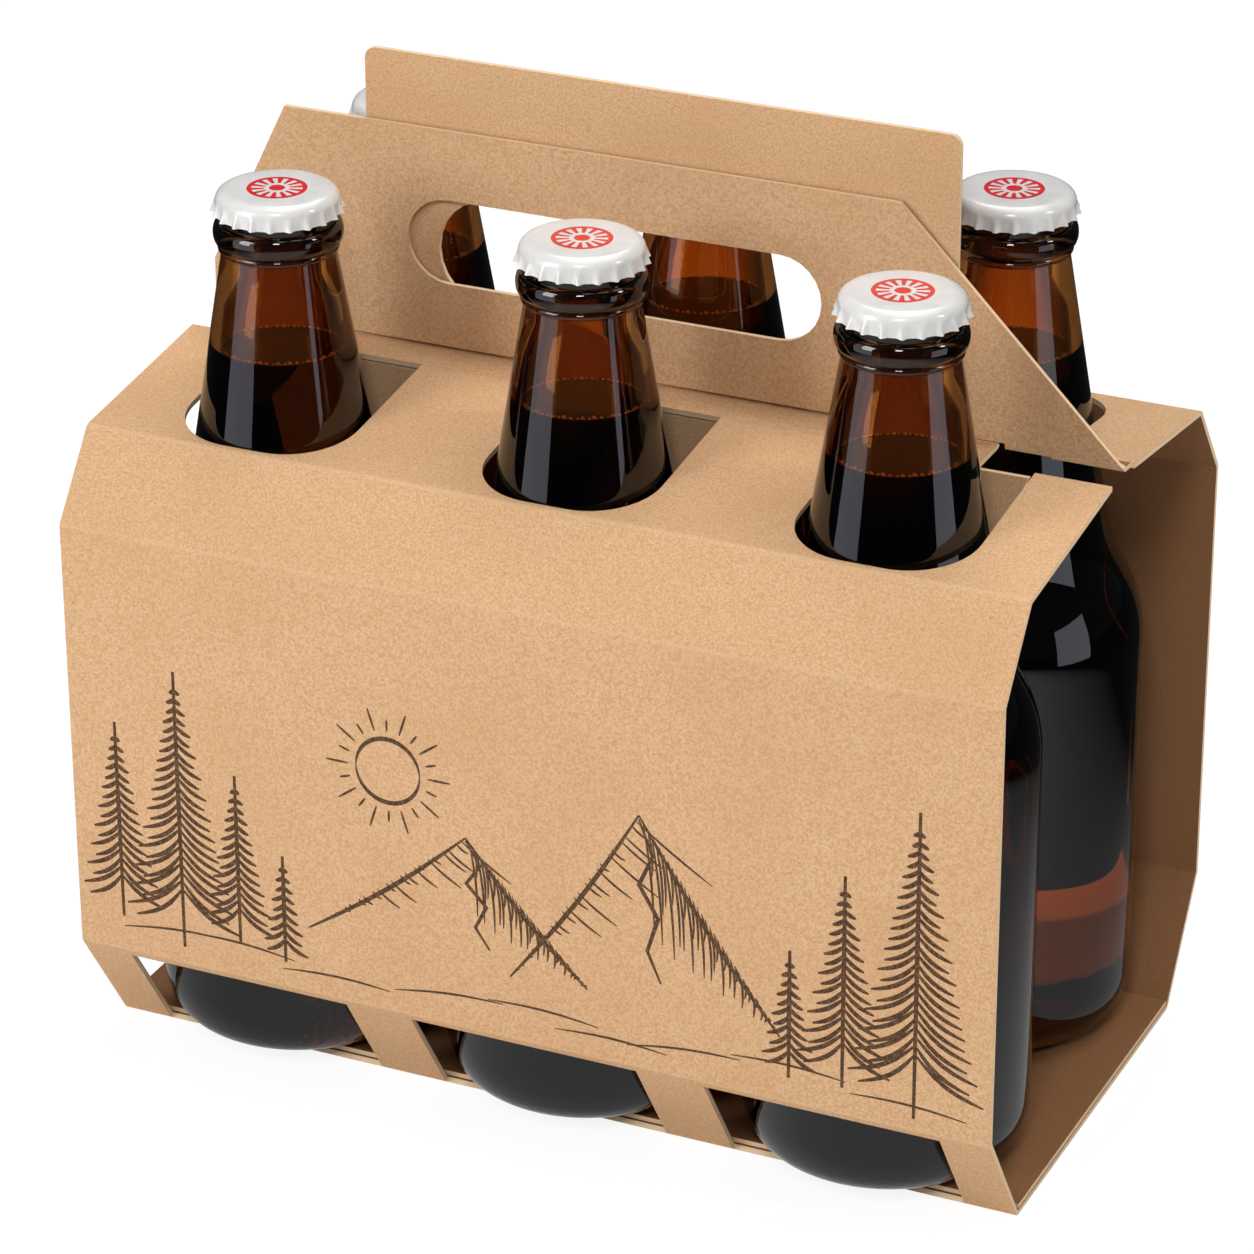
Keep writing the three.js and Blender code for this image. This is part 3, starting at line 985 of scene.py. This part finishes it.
@dataclass(frozen=True)
class Sleeve:
    """Folded kraft sleeve with its base lap and the three flaps behind the front necks."""

    half_length: float = 107.0
    board: float = 1.2
    base_half: float = 48.0
    wall_half: float = 65.5
    shoulder_half: float = 51.98
    ridge_half: float = 5.3
    lower_crease: float = 26.5
    upper_crease: float = 127.0
    shoulder_crease: float = 145.0
    ridge: float = 150.5
    cut_pitch: float = 68.8
    cut_half: float = 26.6
    rear_cut_half: float = 23.78
    cut_margin: float = 1.9
    hole_pitch: float = 70.4
    hole_half: float = 19.78
    hole_end: float = 50.48
    hole_radius: float = 15.0
    overcut: float = 1.0
    slit_left: float = -75.0
    slit_right: float = 80.0
    slit_back: float = 7.2
    tab_back: float = 8.6
    lap_half: float = 46.95
    lap_underside: float = 1.4
    flap_top: float = 149.0
    flap_height: float = 15.0
    flap_half: float = 18.48
    flap_taper: float = 5.0
    flap_radius: float = 4.0

    @cached_property
    def fold(self) -> FoldLine:
        """Fold line from the front ridge down, under the base and up to the rear ridge.

        Returns:
            The line of the sleeve's outer face.
        """
        half = [(self.ridge_half, self.ridge), (self.shoulder_half, self.shoulder_crease),
                (self.wall_half, self.upper_crease), (self.wall_half, self.lower_crease),
                (self.base_half, 0.0)]
        return FoldLine(tuple((-y, z) for y, z in half) + tuple(half[::-1]))

    def along_shoulder(self, y: float) -> float:
        """Distance down a shoulder from its ridge to a place at that distance from the middle."""
        run, rise = self.shoulder_half - self.ridge_half, self.ridge - self.shoulder_crease
        return (y - self.ridge_half) * math.hypot(run, rise) / run

    def hole(self, column: int) -> Loop:
        """Neck hole of the front shoulder in flat coordinates, open at the ridge.

        Args:
            column: Place in the row, counted from the middle.

        Returns:
            The hole's outline.
        """
        x, r = column * self.hole_pitch, self.hole_radius
        end = self.along_shoulder(self.hole_end)
        left, right = x - self.hole_half, x + self.hole_half
        mouth = [(left, -self.overcut), (right, -self.overcut)]
        return mouth + arc((right - r, end - r), r, 0, 90) + arc((left + r, end - r), r, 90, 180)

    def heel_cut(self, column: int, half: float) -> Loop:
        """Heel cut-out of a lower bevel, in flat coordinates of the front one, down to the base crease.

        Args:
            column: Place in the row, counted from the middle.
            half: Half of the cut-out's width.

        Returns:
            The cut-out's outline.
        """
        bevel = math.hypot(self.wall_half - self.base_half, self.lower_crease)
        top = self.fold.flat(3, self.cut_margin * bevel / self.lower_crease)
        x = column * self.cut_pitch
        return rectangle(x - half, x + half, top, self.fold.crease(3))

    def mirrored(self, loop: Loop) -> Loop:
        """The same loop on the rear half of the flat board."""
        return [(x, self.fold.length - v) for x, v in loop]

    def sheet(self) -> BoardSheet:
        """The die-cut blank with its holes, cut-outs, slit and print.

        Returns:
            The sheet, ready to fold.
        """
        columns = [place.value for place in Place]
        holes = [self.hole(c) for c in columns]
        fronts = holes + [self.heel_cut(c, self.cut_half) for c in columns]
        rears = holes + [self.heel_cut(c, self.rear_cut_half) for c in columns]
        end, past = self.fold.length, self.fold.length + self.overcut
        slit = rectangle(self.slit_left, self.slit_right, end - self.along_shoulder(self.slit_back), past)
        edge = self.half_length + self.overcut
        tabs = [rectangle(left, right, end - self.along_shoulder(self.tab_back), past)
                for left, right in ((-edge, self.slit_left), (self.slit_right, edge))]
        wall_foot = self.fold.flat(2, self.upper_crease - self.lower_crease)
        prints = [[(x, wall_foot - height) for x, height in loop] for loop in HillPrint().strokes()]
        outline = rectangle(-self.half_length, self.half_length, 0.0, end)
        cuts = fronts + [self.mirrored(loop) for loop in rears] + [slit] + tabs
        return BoardSheet("sleeve_board", self.fold, [outline], cuts, prints, self.board)

    def lap(self) -> BoardSheet:
        """Inner floor: the plain panel glued on the base.

        Returns:
            The sheet, ready to build.
        """
        line = FoldLine(((-self.lap_half, self.lap_underside), (self.lap_half, self.lap_underside)))
        outline = rectangle(-self.half_length, self.half_length, 0.0, line.length)
        return BoardSheet("base_lap_board", line, [outline], thickness=self.board)

    def flap(self, place: Place) -> BoardSheet:
        """One neck flap, hanging from the front ridge.

        Args:
            place: Place of the flap along the ridge.

        Returns:
            The sheet, ready to build.
        """
        y, top = -self.ridge_half, self.flap_top
        line = FoldLine(((y, top), (y, top - self.flap_height)))
        x, r, end = place.value * self.hole_pitch, self.flap_radius, self.flap_height
        narrow = self.flap_half - self.flap_taper
        outline = [(x - self.flap_half, 0.0), (x + self.flap_half, 0.0)]
        outline += arc((x + narrow - r, end - r), r, 0, 90, 6) + arc((x - narrow + r, end - r), r, 90, 180, 6)
        return BoardSheet(f"neck_flap_board_{place.name.lower()}", line, [outline], thickness=self.board)

    def build(self) -> None:
        """Builds and seats the sleeve, its lap and its flaps."""
        panels = ["base_panel"] + [f"{row.name.lower()}_{panel}" for row in Row
                                   for panel in ("lower_bevel", "wall", "upper_bevel", "shoulder")]
        seat(self.sheet().build(), Slot.BOARD, panels, ["sleeve"])
        seat(self.lap().build(), Slot.BOARD, ["base_lap_panel"], ["sleeve"])
        for place in Place:
            node = f"neck_flap_{place.name.lower()}"
            seat(self.flap(place).build(), Slot.BOARD, [node], [f"{node}_body"])


@dataclass(frozen=True)
class Handle:
    """Two-ply handle: a front ply folded up from the rear shoulder, a rear ply threaded behind it."""

    sleeve: Sleeve
    ply_gap: float = 0.4
    front_rise: float = 50.5
    front_top: Point = (-87.4, 55.6)
    front_end: float = 106.0
    front_foot: float = 0.4
    left_edge_rise: float = 12.5
    slit_opening: float = 1.0
    front_slot: tuple[float, float, float, float] = (-58.2, 38.4, 15.5, 34.8)
    rear_rise: float = 66.3
    rear_span: Point = (-68.3, 68.0)
    rear_corner: float = 2.5
    rear_slot: tuple[float, float, float, float] = (-51.5, 44.0, 10.5, 35.2)
    bridge_span: Point = (-73.0, 78.0)
    crease_slack: float = 0.1
    bend_reach: float = 3.0

    def front_ply(self) -> BoardSheet:
        """Front ply, from its top edge down and out onto the tabs of the rear shoulder.

        Returns:
            The sheet, ready to fold.
        """
        s = self.sleeve
        face, top, under = s.ridge_half - s.board, s.ridge + self.front_rise, s.ridge - s.board
        slope = (s.ridge - s.shoulder_crease) / (s.shoulder_half - s.ridge_half)
        tab = (s.tab_back - self.crease_slack, under - slope * (s.tab_back - s.ridge_half))
        line = FoldLine(((face, top), (face, under), tab))
        foot, free = self.front_rise + self.front_foot, self.front_rise - self.slit_opening
        hole = s.hole_pitch + s.hole_half
        end, out = line.length, self.front_end
        outline = [(self.front_top[0], 0.0), (self.front_top[1], 0.0)]
        outline += [(out, foot), (out, end), (hole, end), (hole, foot)]
        outline += [(s.slit_right, foot), (s.slit_right, free), (s.slit_left, free), (s.slit_left, foot)]
        outline += [(-hole, foot), (-hole, end), (-out, end), (-out, self.front_rise - self.left_edge_rise)]
        left, right, low, high = self.front_slot
        slot = stadium(left, right, self.front_rise - high, self.front_rise - low)
        return BoardSheet("handle_front_board", line, [outline], [slot], thickness=s.board)

    def rear_ply(self) -> BoardSheet:
        """Bridge over the ridge gap and the rear ply that folds up from it.

        Returns:
            The sheet, ready to fold.
        """
        s = self.sleeve
        back, under = s.ridge_half + self.ply_gap + s.board, s.ridge - s.board
        start, top = (-s.ridge_half + self.crease_slack, under), (back, s.ridge + self.rear_rise)
        line = FoldLine((start, (back, under), top))
        fold, end, r = line.crease(0), line.length, self.rear_corner
        (left, right), (bridge_left, bridge_right) = self.rear_span, self.bridge_span
        outline = [(bridge_left, 0.0), (bridge_right, 0.0), (bridge_right, fold), (right, fold)]
        outline += arc((right - r, end - r), r, 0, 90, 6) + arc((left + r, end - r), r, 90, 180, 6)
        outline += [(left, fold), (bridge_left, fold)]
        slot_left, slot_right, low, high = self.rear_slot
        foot = end - self.rear_rise
        slot = stadium(slot_left, slot_right, foot + low, foot + high)
        return BoardSheet("handle_rear_board", line, [outline], [slot], [], s.board, face_up_inside=True)

    def build(self) -> None:
        """Builds both plies, hides the nodes that they replace and bakes their transforms."""
        front, rear = self.front_ply().build(), self.rear_ply().build()
        seat(front, Slot.BOARD, ["handle_front_ply"], [])
        seat(rear, Slot.BOARD, ["handle_rear_ply", "ridge_bridge"], [])
        for ply, way in ((front, 1.0), (rear, -1.0)):
            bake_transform(ply)


def lathe(name: str, profile: Sequence[Point], segments: int, finish: Finish) -> bpy.types.Mesh:
    """Turns a profile of radii and heights about Z.

    Args:
        name: Name of the mesh.
        profile: Points of radius and height in mm; a zero radius closes the mesh on the axis.
        segments: Facets around the axis.
        finish: Finish of the whole surface.

    Returns:
        The turned mesh, shaded smooth.
    """
    turned = bmesh.new()
    rings = []
    for radius, height in profile:
        angles = [2 * math.pi * i / segments for i in range(segments if radius > 0 else 1)]
        spots = [Vector((radius * math.cos(a), radius * math.sin(a), height)) for a in angles]
        rings.append([turned.verts.new(spot * MM) for spot in spots])
    for lower, upper in zip(rings, rings[1:]):
        for i in range(segments):
            j = (i + 1) % segments
            quad = [ring[k % len(ring)] for ring, k in ((lower, i), (lower, j), (upper, j), (upper, i))]
            turned.faces.new(list(dict.fromkeys(quad)))
    for face in turned.faces:
        face.smooth = True
    bmesh.ops.recalc_face_normals(turned, faces=turned.faces)
    mesh = bpy.data.meshes.new(name)
    turned.to_mesh(mesh)
    turned.free()
    mesh.set_sharp_from_angle(angle=math.radians(SHARP_ANGLE))
    mesh.materials.append(finish.material())
    return mesh


def mark_end(mesh: bpy.types.Mesh, count: int, finish: Finish) -> None:
    """Gives the faces at the end of a turned mesh's profile a finish of their own.

    Args:
        mesh: The turned mesh.
        count: How many of its last faces take the finish.
        finish: Their finish.
    """
    mesh.materials.append(finish.material())
    for face in mesh.polygons[len(mesh.polygons) - count:]:
        face.material_index = 1


def curve(points: Sequence[Point], steps: int) -> Loop:
    """Points along a smooth curve.

    Args:
        points: Control points, of which the first and last lie on the curve.
        steps: Pieces of the curve.

    Returns:
        The points.
    """
    degree = len(points) - 1
    drawn = []
    for i in range(steps + 1):
        t = i / steps
        shares = [math.comb(degree, k) * t ** k * (1 - t) ** (degree - k) for k in range(degree + 1)]
        x, y = (sum(s * p[axis] for s, p in zip(shares, points)) for axis in (0, 1))
        drawn.append((x, y))
    return drawn


def bulge(inner: float, outer: float, low: float, high: float, steps: int) -> Loop:
    """Half-round profile of a ring.

    Args:
        inner: Radius that it swells from.
        outer: Radius that it swells to.
        low: Height of its foot.
        high: Height of its top.
        steps: Pieces of the profile.

    Returns:
        Points of radius and height.
    """
    middle, half = (low + high) / 2, (high - low) / 2
    angles = [math.radians(BULGE_ANGLE * (2 * i / steps - 1)) for i in range(steps + 1)]
    swell = outer - inner
    return [(inner + swell * math.cos(a) ** BULGE_POWER, middle + half * math.sin(a)) for a in angles]


@dataclass(frozen=True)
class Bottle:
    """Amber long-neck bottle with its beer, the froth at the beer's edge and its crown cap."""

    pitch: float = 70.4
    row_half: float = 31.3
    floor: float = 2.9
    radius: float = 31.0
    wall: float = 2.6
    base: float = 4.0
    height: float = 192.6
    heel: float = 13.0
    bearing: float = 21.0
    punt: float = 3.0
    punt_flat: float = 14.7
    shoulder_start: float = 92.0
    shoulder_rise: float = 26.0
    fullness: float = 13.0
    ease_out: float = 2.1
    ease_down: float = 9.1
    neck_root: float = 22.6
    neck_top: float = 12.1
    collar_radius: float = 13.8
    collar_height: float = 6.5
    ring_radius: float = 12.9
    ring_height: float = 1.5
    finish_height: float = 5.2
    finish_radius: float = 12.1
    bead_radius: float = 12.6
    bead_height: float = 3.2
    lip: float = 1.0
    bore: float = 8.2
    bore_depth: float = 16.0
    headspace: float = 33.0
    wetting: float = 0.15
    bubbles: int = 170
    bubble_radius: float = 0.28
    neck_rings: int = 10
    segments: int = 96

    @property
    def finish_z(self) -> float:
        """Height of the collar's top."""
        return self.height - self.finish_height

    @property
    def neck_z(self) -> float:
        """Height of the neck's top."""
        return self.finish_z - self.collar_height

    @property
    def fill_z(self) -> float:
        """Height of the beer."""
        return self.height - self.headspace

    def neck_radius(self, z: float) -> float:
        """Radius of the conical neck at a height."""
        root = self.shoulder_start + self.shoulder_rise
        return self.neck_root + (self.neck_top - self.neck_root) * (z - root) / (self.neck_z - root)

    def flank(self, inset: float, foot: float, end: float) -> Loop:
        """Profile from the heel to a height on the neck, set in by a wall.

        Args:
            inset: Distance in from the outer face.
            foot: Height of the foot.
            end: Height on the neck where it ends.

        Returns:
            Points of radius and height.
        """
        r, root = self.radius - inset, self.shoulder_start + self.shoulder_rise
        heel = curve([(self.bearing - inset, foot), (r, foot), (r, foot + self.heel)], 14)
        shoulder = curve([(r, self.shoulder_start), (r, self.shoulder_start + self.fullness),
                          (self.neck_root + self.ease_out - inset, root - self.ease_down),
                          (self.neck_root - inset, root)], 24)
        rings = [root + (end - root) * i / self.neck_rings for i in range(1, self.neck_rings + 1)]
        return heel + shoulder + [(self.neck_radius(z) - inset, z) for z in rings]

    def collar(self) -> Loop:
        """Rounded collar under the cap, with a thin ring below it.

        Returns:
            Points of radius and height.
        """
        step = self.neck_z + self.ring_height
        ring = bulge(self.neck_top, self.ring_radius, self.neck_z, step, 8)
        return ring + bulge(self.finish_radius, self.collar_radius, step, self.finish_z, 12)

    def glass(self) -> bpy.types.Mesh:
        """The glass: pushed-up base, flank, collar, finish and bore, then back down inside.

        Returns:
            The turned mesh.
        """
        h, bead = self.height, self.bead_radius
        base = curve([(0.0, self.punt), (self.punt_flat, self.punt), (self.bearing, 0.0)], 8)[:-1]
        finish = [(self.finish_radius, self.finish_z), (self.finish_radius, h - self.bead_height)]
        finish += [(bead, h - self.bead_height + self.lip), (bead, h - self.lip), (bead - self.lip, h)]
        finish += [(self.bore, h), (self.bore, h - self.bore_depth)]
        throat = h - self.bore_depth - self.collar_height
        dry = [(self.neck_radius(throat) - self.wall, throat)]
        wet = self.flank(self.wall, self.base, self.fill_z)[::-1] + [(0.0, self.base + self.punt)]
        profile = base + self.flank(0.0, 0.0, self.neck_z) + self.collar() + finish + dry + wet
        mesh = lathe("bottle_glass", profile, self.segments, GLASS)
        mark_end(mesh, (len(wet) - 1) * self.segments, WETTED_GLASS)
        return mesh

    def beer(self) -> bpy.types.Mesh:
        """The beer, wetting the glass all round, with a flat top.

        Returns:
            The turned mesh.
        """
        foot = self.base - self.wetting
        flank = self.flank(self.wall - self.wetting, foot, self.fill_z)
        profile = [(0.0, foot + self.punt), *flank, (0.0, self.fill_z)]
        mesh = lathe("beer_body", profile, self.segments, BEER)
        mark_end(mesh, self.segments, BEER_LEVEL)
        return mesh

    def froth(self) -> bpy.types.Mesh:
        """A ring of small bubbles along the glass at the beer's edge.

        Returns:
            The bubbles as one mesh.
        """
        bubbles = bmesh.new()
        for i in range(self.bubbles):
            size = self.bubble_radius * (0.4 + 1.3 * (i * GOLDEN_SHARE % 1) ** 2)
            angle = 2 * math.pi * i / self.bubbles
            reach = self.neck_radius(self.fill_z) - self.wall - size - self.wetting
            z = self.fill_z + size - self.bubble_radius
            place = Matrix.Translation(Vector((reach * math.cos(angle), reach * math.sin(angle), z)) * MM)
            bmesh.ops.create_icosphere(bubbles, subdivisions=1, radius=size * MM, matrix=place)
        for face in bubbles.faces:
            face.smooth = True
        mesh = bpy.data.meshes.new("beer_froth")
        bubbles.to_mesh(mesh)
        bubbles.free()
        mesh.materials.append(FROTH.material())
        return mesh

    def build(self) -> None:
        """Builds the six bottles with their beer, froth and caps, and dresses the liners."""
        cap_mesh = CrownCap().mesh(self.height)
        glass, beer, froth = self.glass(), self.beer(), self.froth()
        for row in Row:
            for place in Place:
                name = f"{row.name.lower()}_{place.name.lower()}"
                spot = Vector((place.value * self.pitch, row.value * self.row_half, self.floor))
                body = [f"filled_bottle_{name}"]
                seat(add_object(f"glass_{name}", glass, spot), Slot.GLASS, [f"bottle_{name}"], body)
                seat(add_object(f"beer_fill_{name}", beer, spot), Slot.BEER, [f"beer_{name}"], body)
                seat(add_object(f"froth_{name}", froth, spot), Slot.BEER, [], body)
                cap = add_object(f"cap_shell_{name}", cap_mesh, spot)
                seat(cap, Slot.ENAMEL, [f"crown_cap_{name}"], [f"cap_{name}"])
                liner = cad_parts[f"cap_liner_{name}"]
                liner.data.materials.clear()
                liner.data.materials.append(SEALANT.material())


@dataclass(frozen=True)
class CrownCap:
    """Crown cap: pressed tinplate with twenty-one flutes and a plain sunburst on its top."""

    height: float = 4.9
    thickness: float = 0.6
    seat: float = 1.6
    flat_radius: float = 10.4
    skirt_radius: float = 13.1
    disc_radius: float = 8.4
    edge_depth: float = 1.9
    hem_radius: float = 13.6
    flutes: int = 21
    flute_depth: float = 1.05
    rib_power: int = 3
    rib_level: float = 0.35
    facets: int = 12
    burst: tuple[float, float, float, float] = (1.7, 2.7, 5.4, 6.4)
    rays: int = 14

    def profile(self, top: float) -> Loop:
        """Outer and inner profile from the middle of the top round the hem.

        Args:
            top: Height of the cap's top.

        Returns:
            Points of radius and height.
        """
        hem, t = top - self.height, self.thickness
        disc = [(0.0, top)] + [(r, top) for r in self.burst] + [(self.disc_radius, top)]
        edge = curve([(self.flat_radius, top - 0.05), (self.skirt_radius - 0.5, top - 0.1),
                      (self.skirt_radius, top - self.edge_depth)], 8)
        skirt = curve([(self.skirt_radius, top - self.edge_depth), (self.skirt_radius + 0.15, hem + 1.2),
                       (self.hem_radius, hem)], 8)[1:]
        lowest = top - self.edge_depth
        inside = [(r - t, z if z < lowest else min(z, top - t)) for r, z in reversed(edge + skirt)]
        return disc + edge + skirt + inside + [(0.0, top - t)]

    def mesh(self, bottle_height: float) -> bpy.types.Mesh:
        """The fluted cap for a bottle of a height.

        Args:
            bottle_height: Height of the bottle's lip.

        Returns:
            The cap's mesh with its sunburst.
        """
        top = bottle_height + self.seat
        mesh = lathe("crown_cap", self.profile(top), self.flutes * self.facets, WHITE_ENAMEL)
        mesh.materials.append(RED_ENAMEL.material())
        start = (top - self.edge_depth) * MM
        for vert in mesh.vertices:
            depth = max(0.0, (start - vert.co.z) / (start - (top - self.height) * MM))
            angle = math.atan2(vert.co.y, vert.co.x)
            rib = (0.5 + 0.5 * math.cos(self.flutes * angle)) ** self.rib_power
            radius = math.hypot(vert.co.x, vert.co.y)
            if radius:
                scale = 1 + min(depth, 1.0) * self.flute_depth * MM * (rib - self.rib_level) / radius
                vert.co.x, vert.co.y = vert.co.x * scale, vert.co.y * scale
        sector = 2 * math.pi / self.rays
        for face in mesh.polygons:
            radius = math.hypot(face.center.x, face.center.y) / MM
            angle = math.atan2(face.center.y, face.center.x) % sector
            dot, low, high, ring = self.burst
            ray = low < radius < high and angle < sector / 2
            upper = face.center.z > (top - self.thickness / 2) * MM
            face.material_index = int(upper and (radius < dot or ray or high < radius < ring))
        return mesh


@dataclass(frozen=True)
class Lamp:
    """A soft rectangular lamp: place, aim and size in metres, and its strength in watts.

    A lamp for gloss alone shows in glass and enamel and lights nothing matt.
    """

    name: str
    place: Place3
    aim: Place3
    size: Point
    watts: float
    gloss_only: bool = False
    tint: str = "ffffff"

    def build(self) -> None:
        """Hangs the lamp at its place, turned to its aim."""
        light = bpy.data.lights.new(self.name, "AREA")
        light.shape = "RECTANGLE"
        light.size, light.size_y = self.size
        light.energy = self.watts
        light.color = linear(self.tint)[:3]
        made = bpy.data.objects.new(self.name, light)
        way = Vector(self.aim) - Vector(self.place)
        made.location = self.place
        made.rotation_euler = way.to_track_quat("-Z", "Y").to_euler()
        made.visible_diffuse = not self.gloss_only
        bpy.context.scene.collection.objects.link(made)


@dataclass(frozen=True)
class Studio:
    """White studio with softboxes on all sides and two panels for gloss, seen through a long lens.

    Glossy faces mirror the table as bright near its middle and as dark farther off.
    """

    eye: Place3 = (416.18, -917.31, 578.82)
    yaw: float = 24.64
    pitch: float = 25.64
    roll: float = -0.195
    lens: float = 147.46
    sensor: float = 36.0
    far: float = 100.0
    aim: Place3 = (0.0, 0.0, 0.11)
    floor_half: float = 8.0
    paper: str = "fafafa"
    paper_glow: float = 1.1
    paper_share: float = 0.2
    ambient: float = 0.12
    gloss_ambient: float = 0.04
    table_middle: Place3 = (0.08, -0.28, 0.0)
    table_reach: Point = (0.22, 0.45)
    table_glow: Point = (0.7, 0.02)
    panel_tint: str = "eff2ff"

    def camera(self) -> None:
        """Sets the camera that the photograph was fitted with."""
        lens = bpy.data.cameras.new("photo_camera")
        lens.lens, lens.sensor_width, lens.clip_end = self.lens, self.sensor, self.far
        made = bpy.data.objects.new("photo_camera", lens)
        a, e, turn = (math.radians(v) for v in (self.yaw, self.pitch, self.roll))
        right = Vector((math.cos(a), math.sin(a), 0.0))
        ahead = Vector((-math.sin(a) * math.cos(e), math.cos(a) * math.cos(e), -math.sin(e)))
        up = right.cross(ahead)
        side = right * math.cos(turn) + up * math.sin(turn)
        head = up * math.cos(turn) - right * math.sin(turn)
        frame_axes = Matrix((side, head, -ahead)).transposed().to_4x4()
        made.matrix_world = Matrix.Translation(Vector(self.eye) * MM) @ frame_axes
        bpy.context.scene.collection.objects.link(made)
        bpy.context.scene.camera = made

    def mirrored_rays(self, tree: Tree) -> Socket:
        """Whether a ray was mirrored by a glossy face and not let through it.

        Args:
            tree: Node tree that takes the nodes.

        Returns:
            The output, one for a mirrored ray.
        """
        path = add_node(tree, "ShaderNodeLightPath").outputs
        links = {0: path["Is Glossy Ray"], 1: path["Is Transmission Ray"]}
        only = add_node(tree, "ShaderNodeMath", links=links, operation="SUBTRACT", use_clamp=True)
        return only.outputs[0]

    def floor(self) -> None:
        """Lays white paper that stays white for the lens and dark in the glass, with a faint shadow."""
        half = self.floor_half
        mesh = bpy.data.meshes.new("studio_floor")
        ends = [(x, y, 0) for x, y in rectangle(-half, half, -half, half)]
        mesh.from_pydata(ends, [], [(0, 1, 2, 3)])
        made = add_object("studio_floor", mesh)
        material = bpy.data.materials.new("studio_paper")
        material.use_nodes = True
        tree = material.node_tree
        tree.nodes.clear()
        path = add_node(tree, "ShaderNodeLightPath").outputs
        paper = add_node(tree, "ShaderNodeBsdfDiffuse", {"Color": linear(self.paper)})
        glow = add_node(tree, "ShaderNodeEmission", {"Color": linear("ffffff"), "Strength": self.paper_glow})
        coords = add_node(tree, "ShaderNodeTexCoord").outputs["Object"]
        values = {1: self.table_middle}
        reach = add_node(tree, "ShaderNodeVectorMath", values, {0: coords}, operation="DISTANCE")
        values = spans(self.table_reach, self.table_glow)
        fade = add_node(tree, "ShaderNodeMapRange", values, {"Value": reach.outputs["Value"]}).outputs[0]
        dark = add_node(tree, "ShaderNodeEmission", {"Color": linear("ffffff")}, {"Strength": fade})
        mirrored = self.mirrored_rays(tree)
        links = {0: path["Is Camera Ray"], 1: path["Is Transmission Ray"]}
        seen = add_node(tree, "ShaderNodeMath", links=links, operation="MAXIMUM").outputs[0]
        share = add_node(tree, "ShaderNodeMath", {1: 1 - self.paper_share}, {0: seen}, operation="MULTIPLY")
        links = {0: share.outputs[0], 1: paper.outputs[0], 2: glow.outputs[0]}
        lit = add_node(tree, "ShaderNodeMixShader", links=links)
        links = {0: mirrored, 1: lit.outputs[0], 2: dark.outputs[0]}
        mixed = add_node(tree, "ShaderNodeMixShader", links=links)
        add_node(tree, "ShaderNodeOutputMaterial", links={"Surface": mixed.outputs[0]})
        mesh.materials.append(material)

    def sky(self) -> None:
        """Gives an even white room light that hardly shows in glossy faces."""
        world = bpy.data.worlds.new("studio_room")
        world.use_nodes = True
        tree = world.node_tree
        tree.nodes.clear()
        values = {"To Min": self.ambient, "To Max": self.gloss_ambient}
        level = add_node(tree, "ShaderNodeMapRange", values, {"Value": self.mirrored_rays(tree)}).outputs[0]
        clear = add_node(tree, "ShaderNodeLightPath").outputs["Is Transmission Ray"]
        level = add_node(tree, "ShaderNodeMath", links={0: level, 1: clear}, operation="MAXIMUM").outputs[0]
        glow = add_node(tree, "ShaderNodeBackground", {"Color": linear("ffffff")}, {"Strength": level})
        add_node(tree, "ShaderNodeOutputWorld", links={"Surface": glow.outputs[0]})
        bpy.context.scene.world = world

    def build(self) -> None:
        """Builds the room, its lamps and the camera."""
        self.camera()
        self.floor()
        self.sky()
        middle, gloss = self.aim, {"gloss_only": True, "tint": self.panel_tint}
        for lamp in (
            Lamp("left_softbox", (-0.78, -1.12, 0.72), middle, (0.5, 0.9), 11.0),
            Lamp("right_softbox", (1.25, 0.15, 0.9), middle, (0.17, 0.36), 3.2),
            Lamp("ceiling_softbox", (0.2, 0.25, 1.55), middle, (1.2, 1.2), 10.8),
            Lamp("rear_softbox", (-0.35, 1.0, 1.5), middle, (0.7, 0.7), 7.0),
            Lamp("front_fill", (0.35, -1.0, 1.1), middle, (0.24, 0.36), 5.5),
            Lamp("left_strip", (-0.36, -0.45, 0.3), (0.0, -0.03, 0.3), (0.38, 0.6), 1.0, **gloss),
            Lamp("right_strip", (0.6, -0.075, 0.12), (0.0, -0.03, 0.12), (0.28, 0.3), 0.4, **gloss),
        ):
            lamp.build()
        bpy.context.scene.view_settings.view_transform = "Standard"


def corners(bounds: Sequence[Sequence[float]]) -> list[list[float]]:
    """Bounds as plain lists."""
    return [[float(value) for value in corner] for corner in bounds]


def main() -> None:
    """Builds the dressed carrier and the studio."""
    sleeve = Sleeve()
    sleeve.build()
    Handle(sleeve).build()
    Bottle().build()
    Studio().build()


if __name__ == "__main__":
    main()
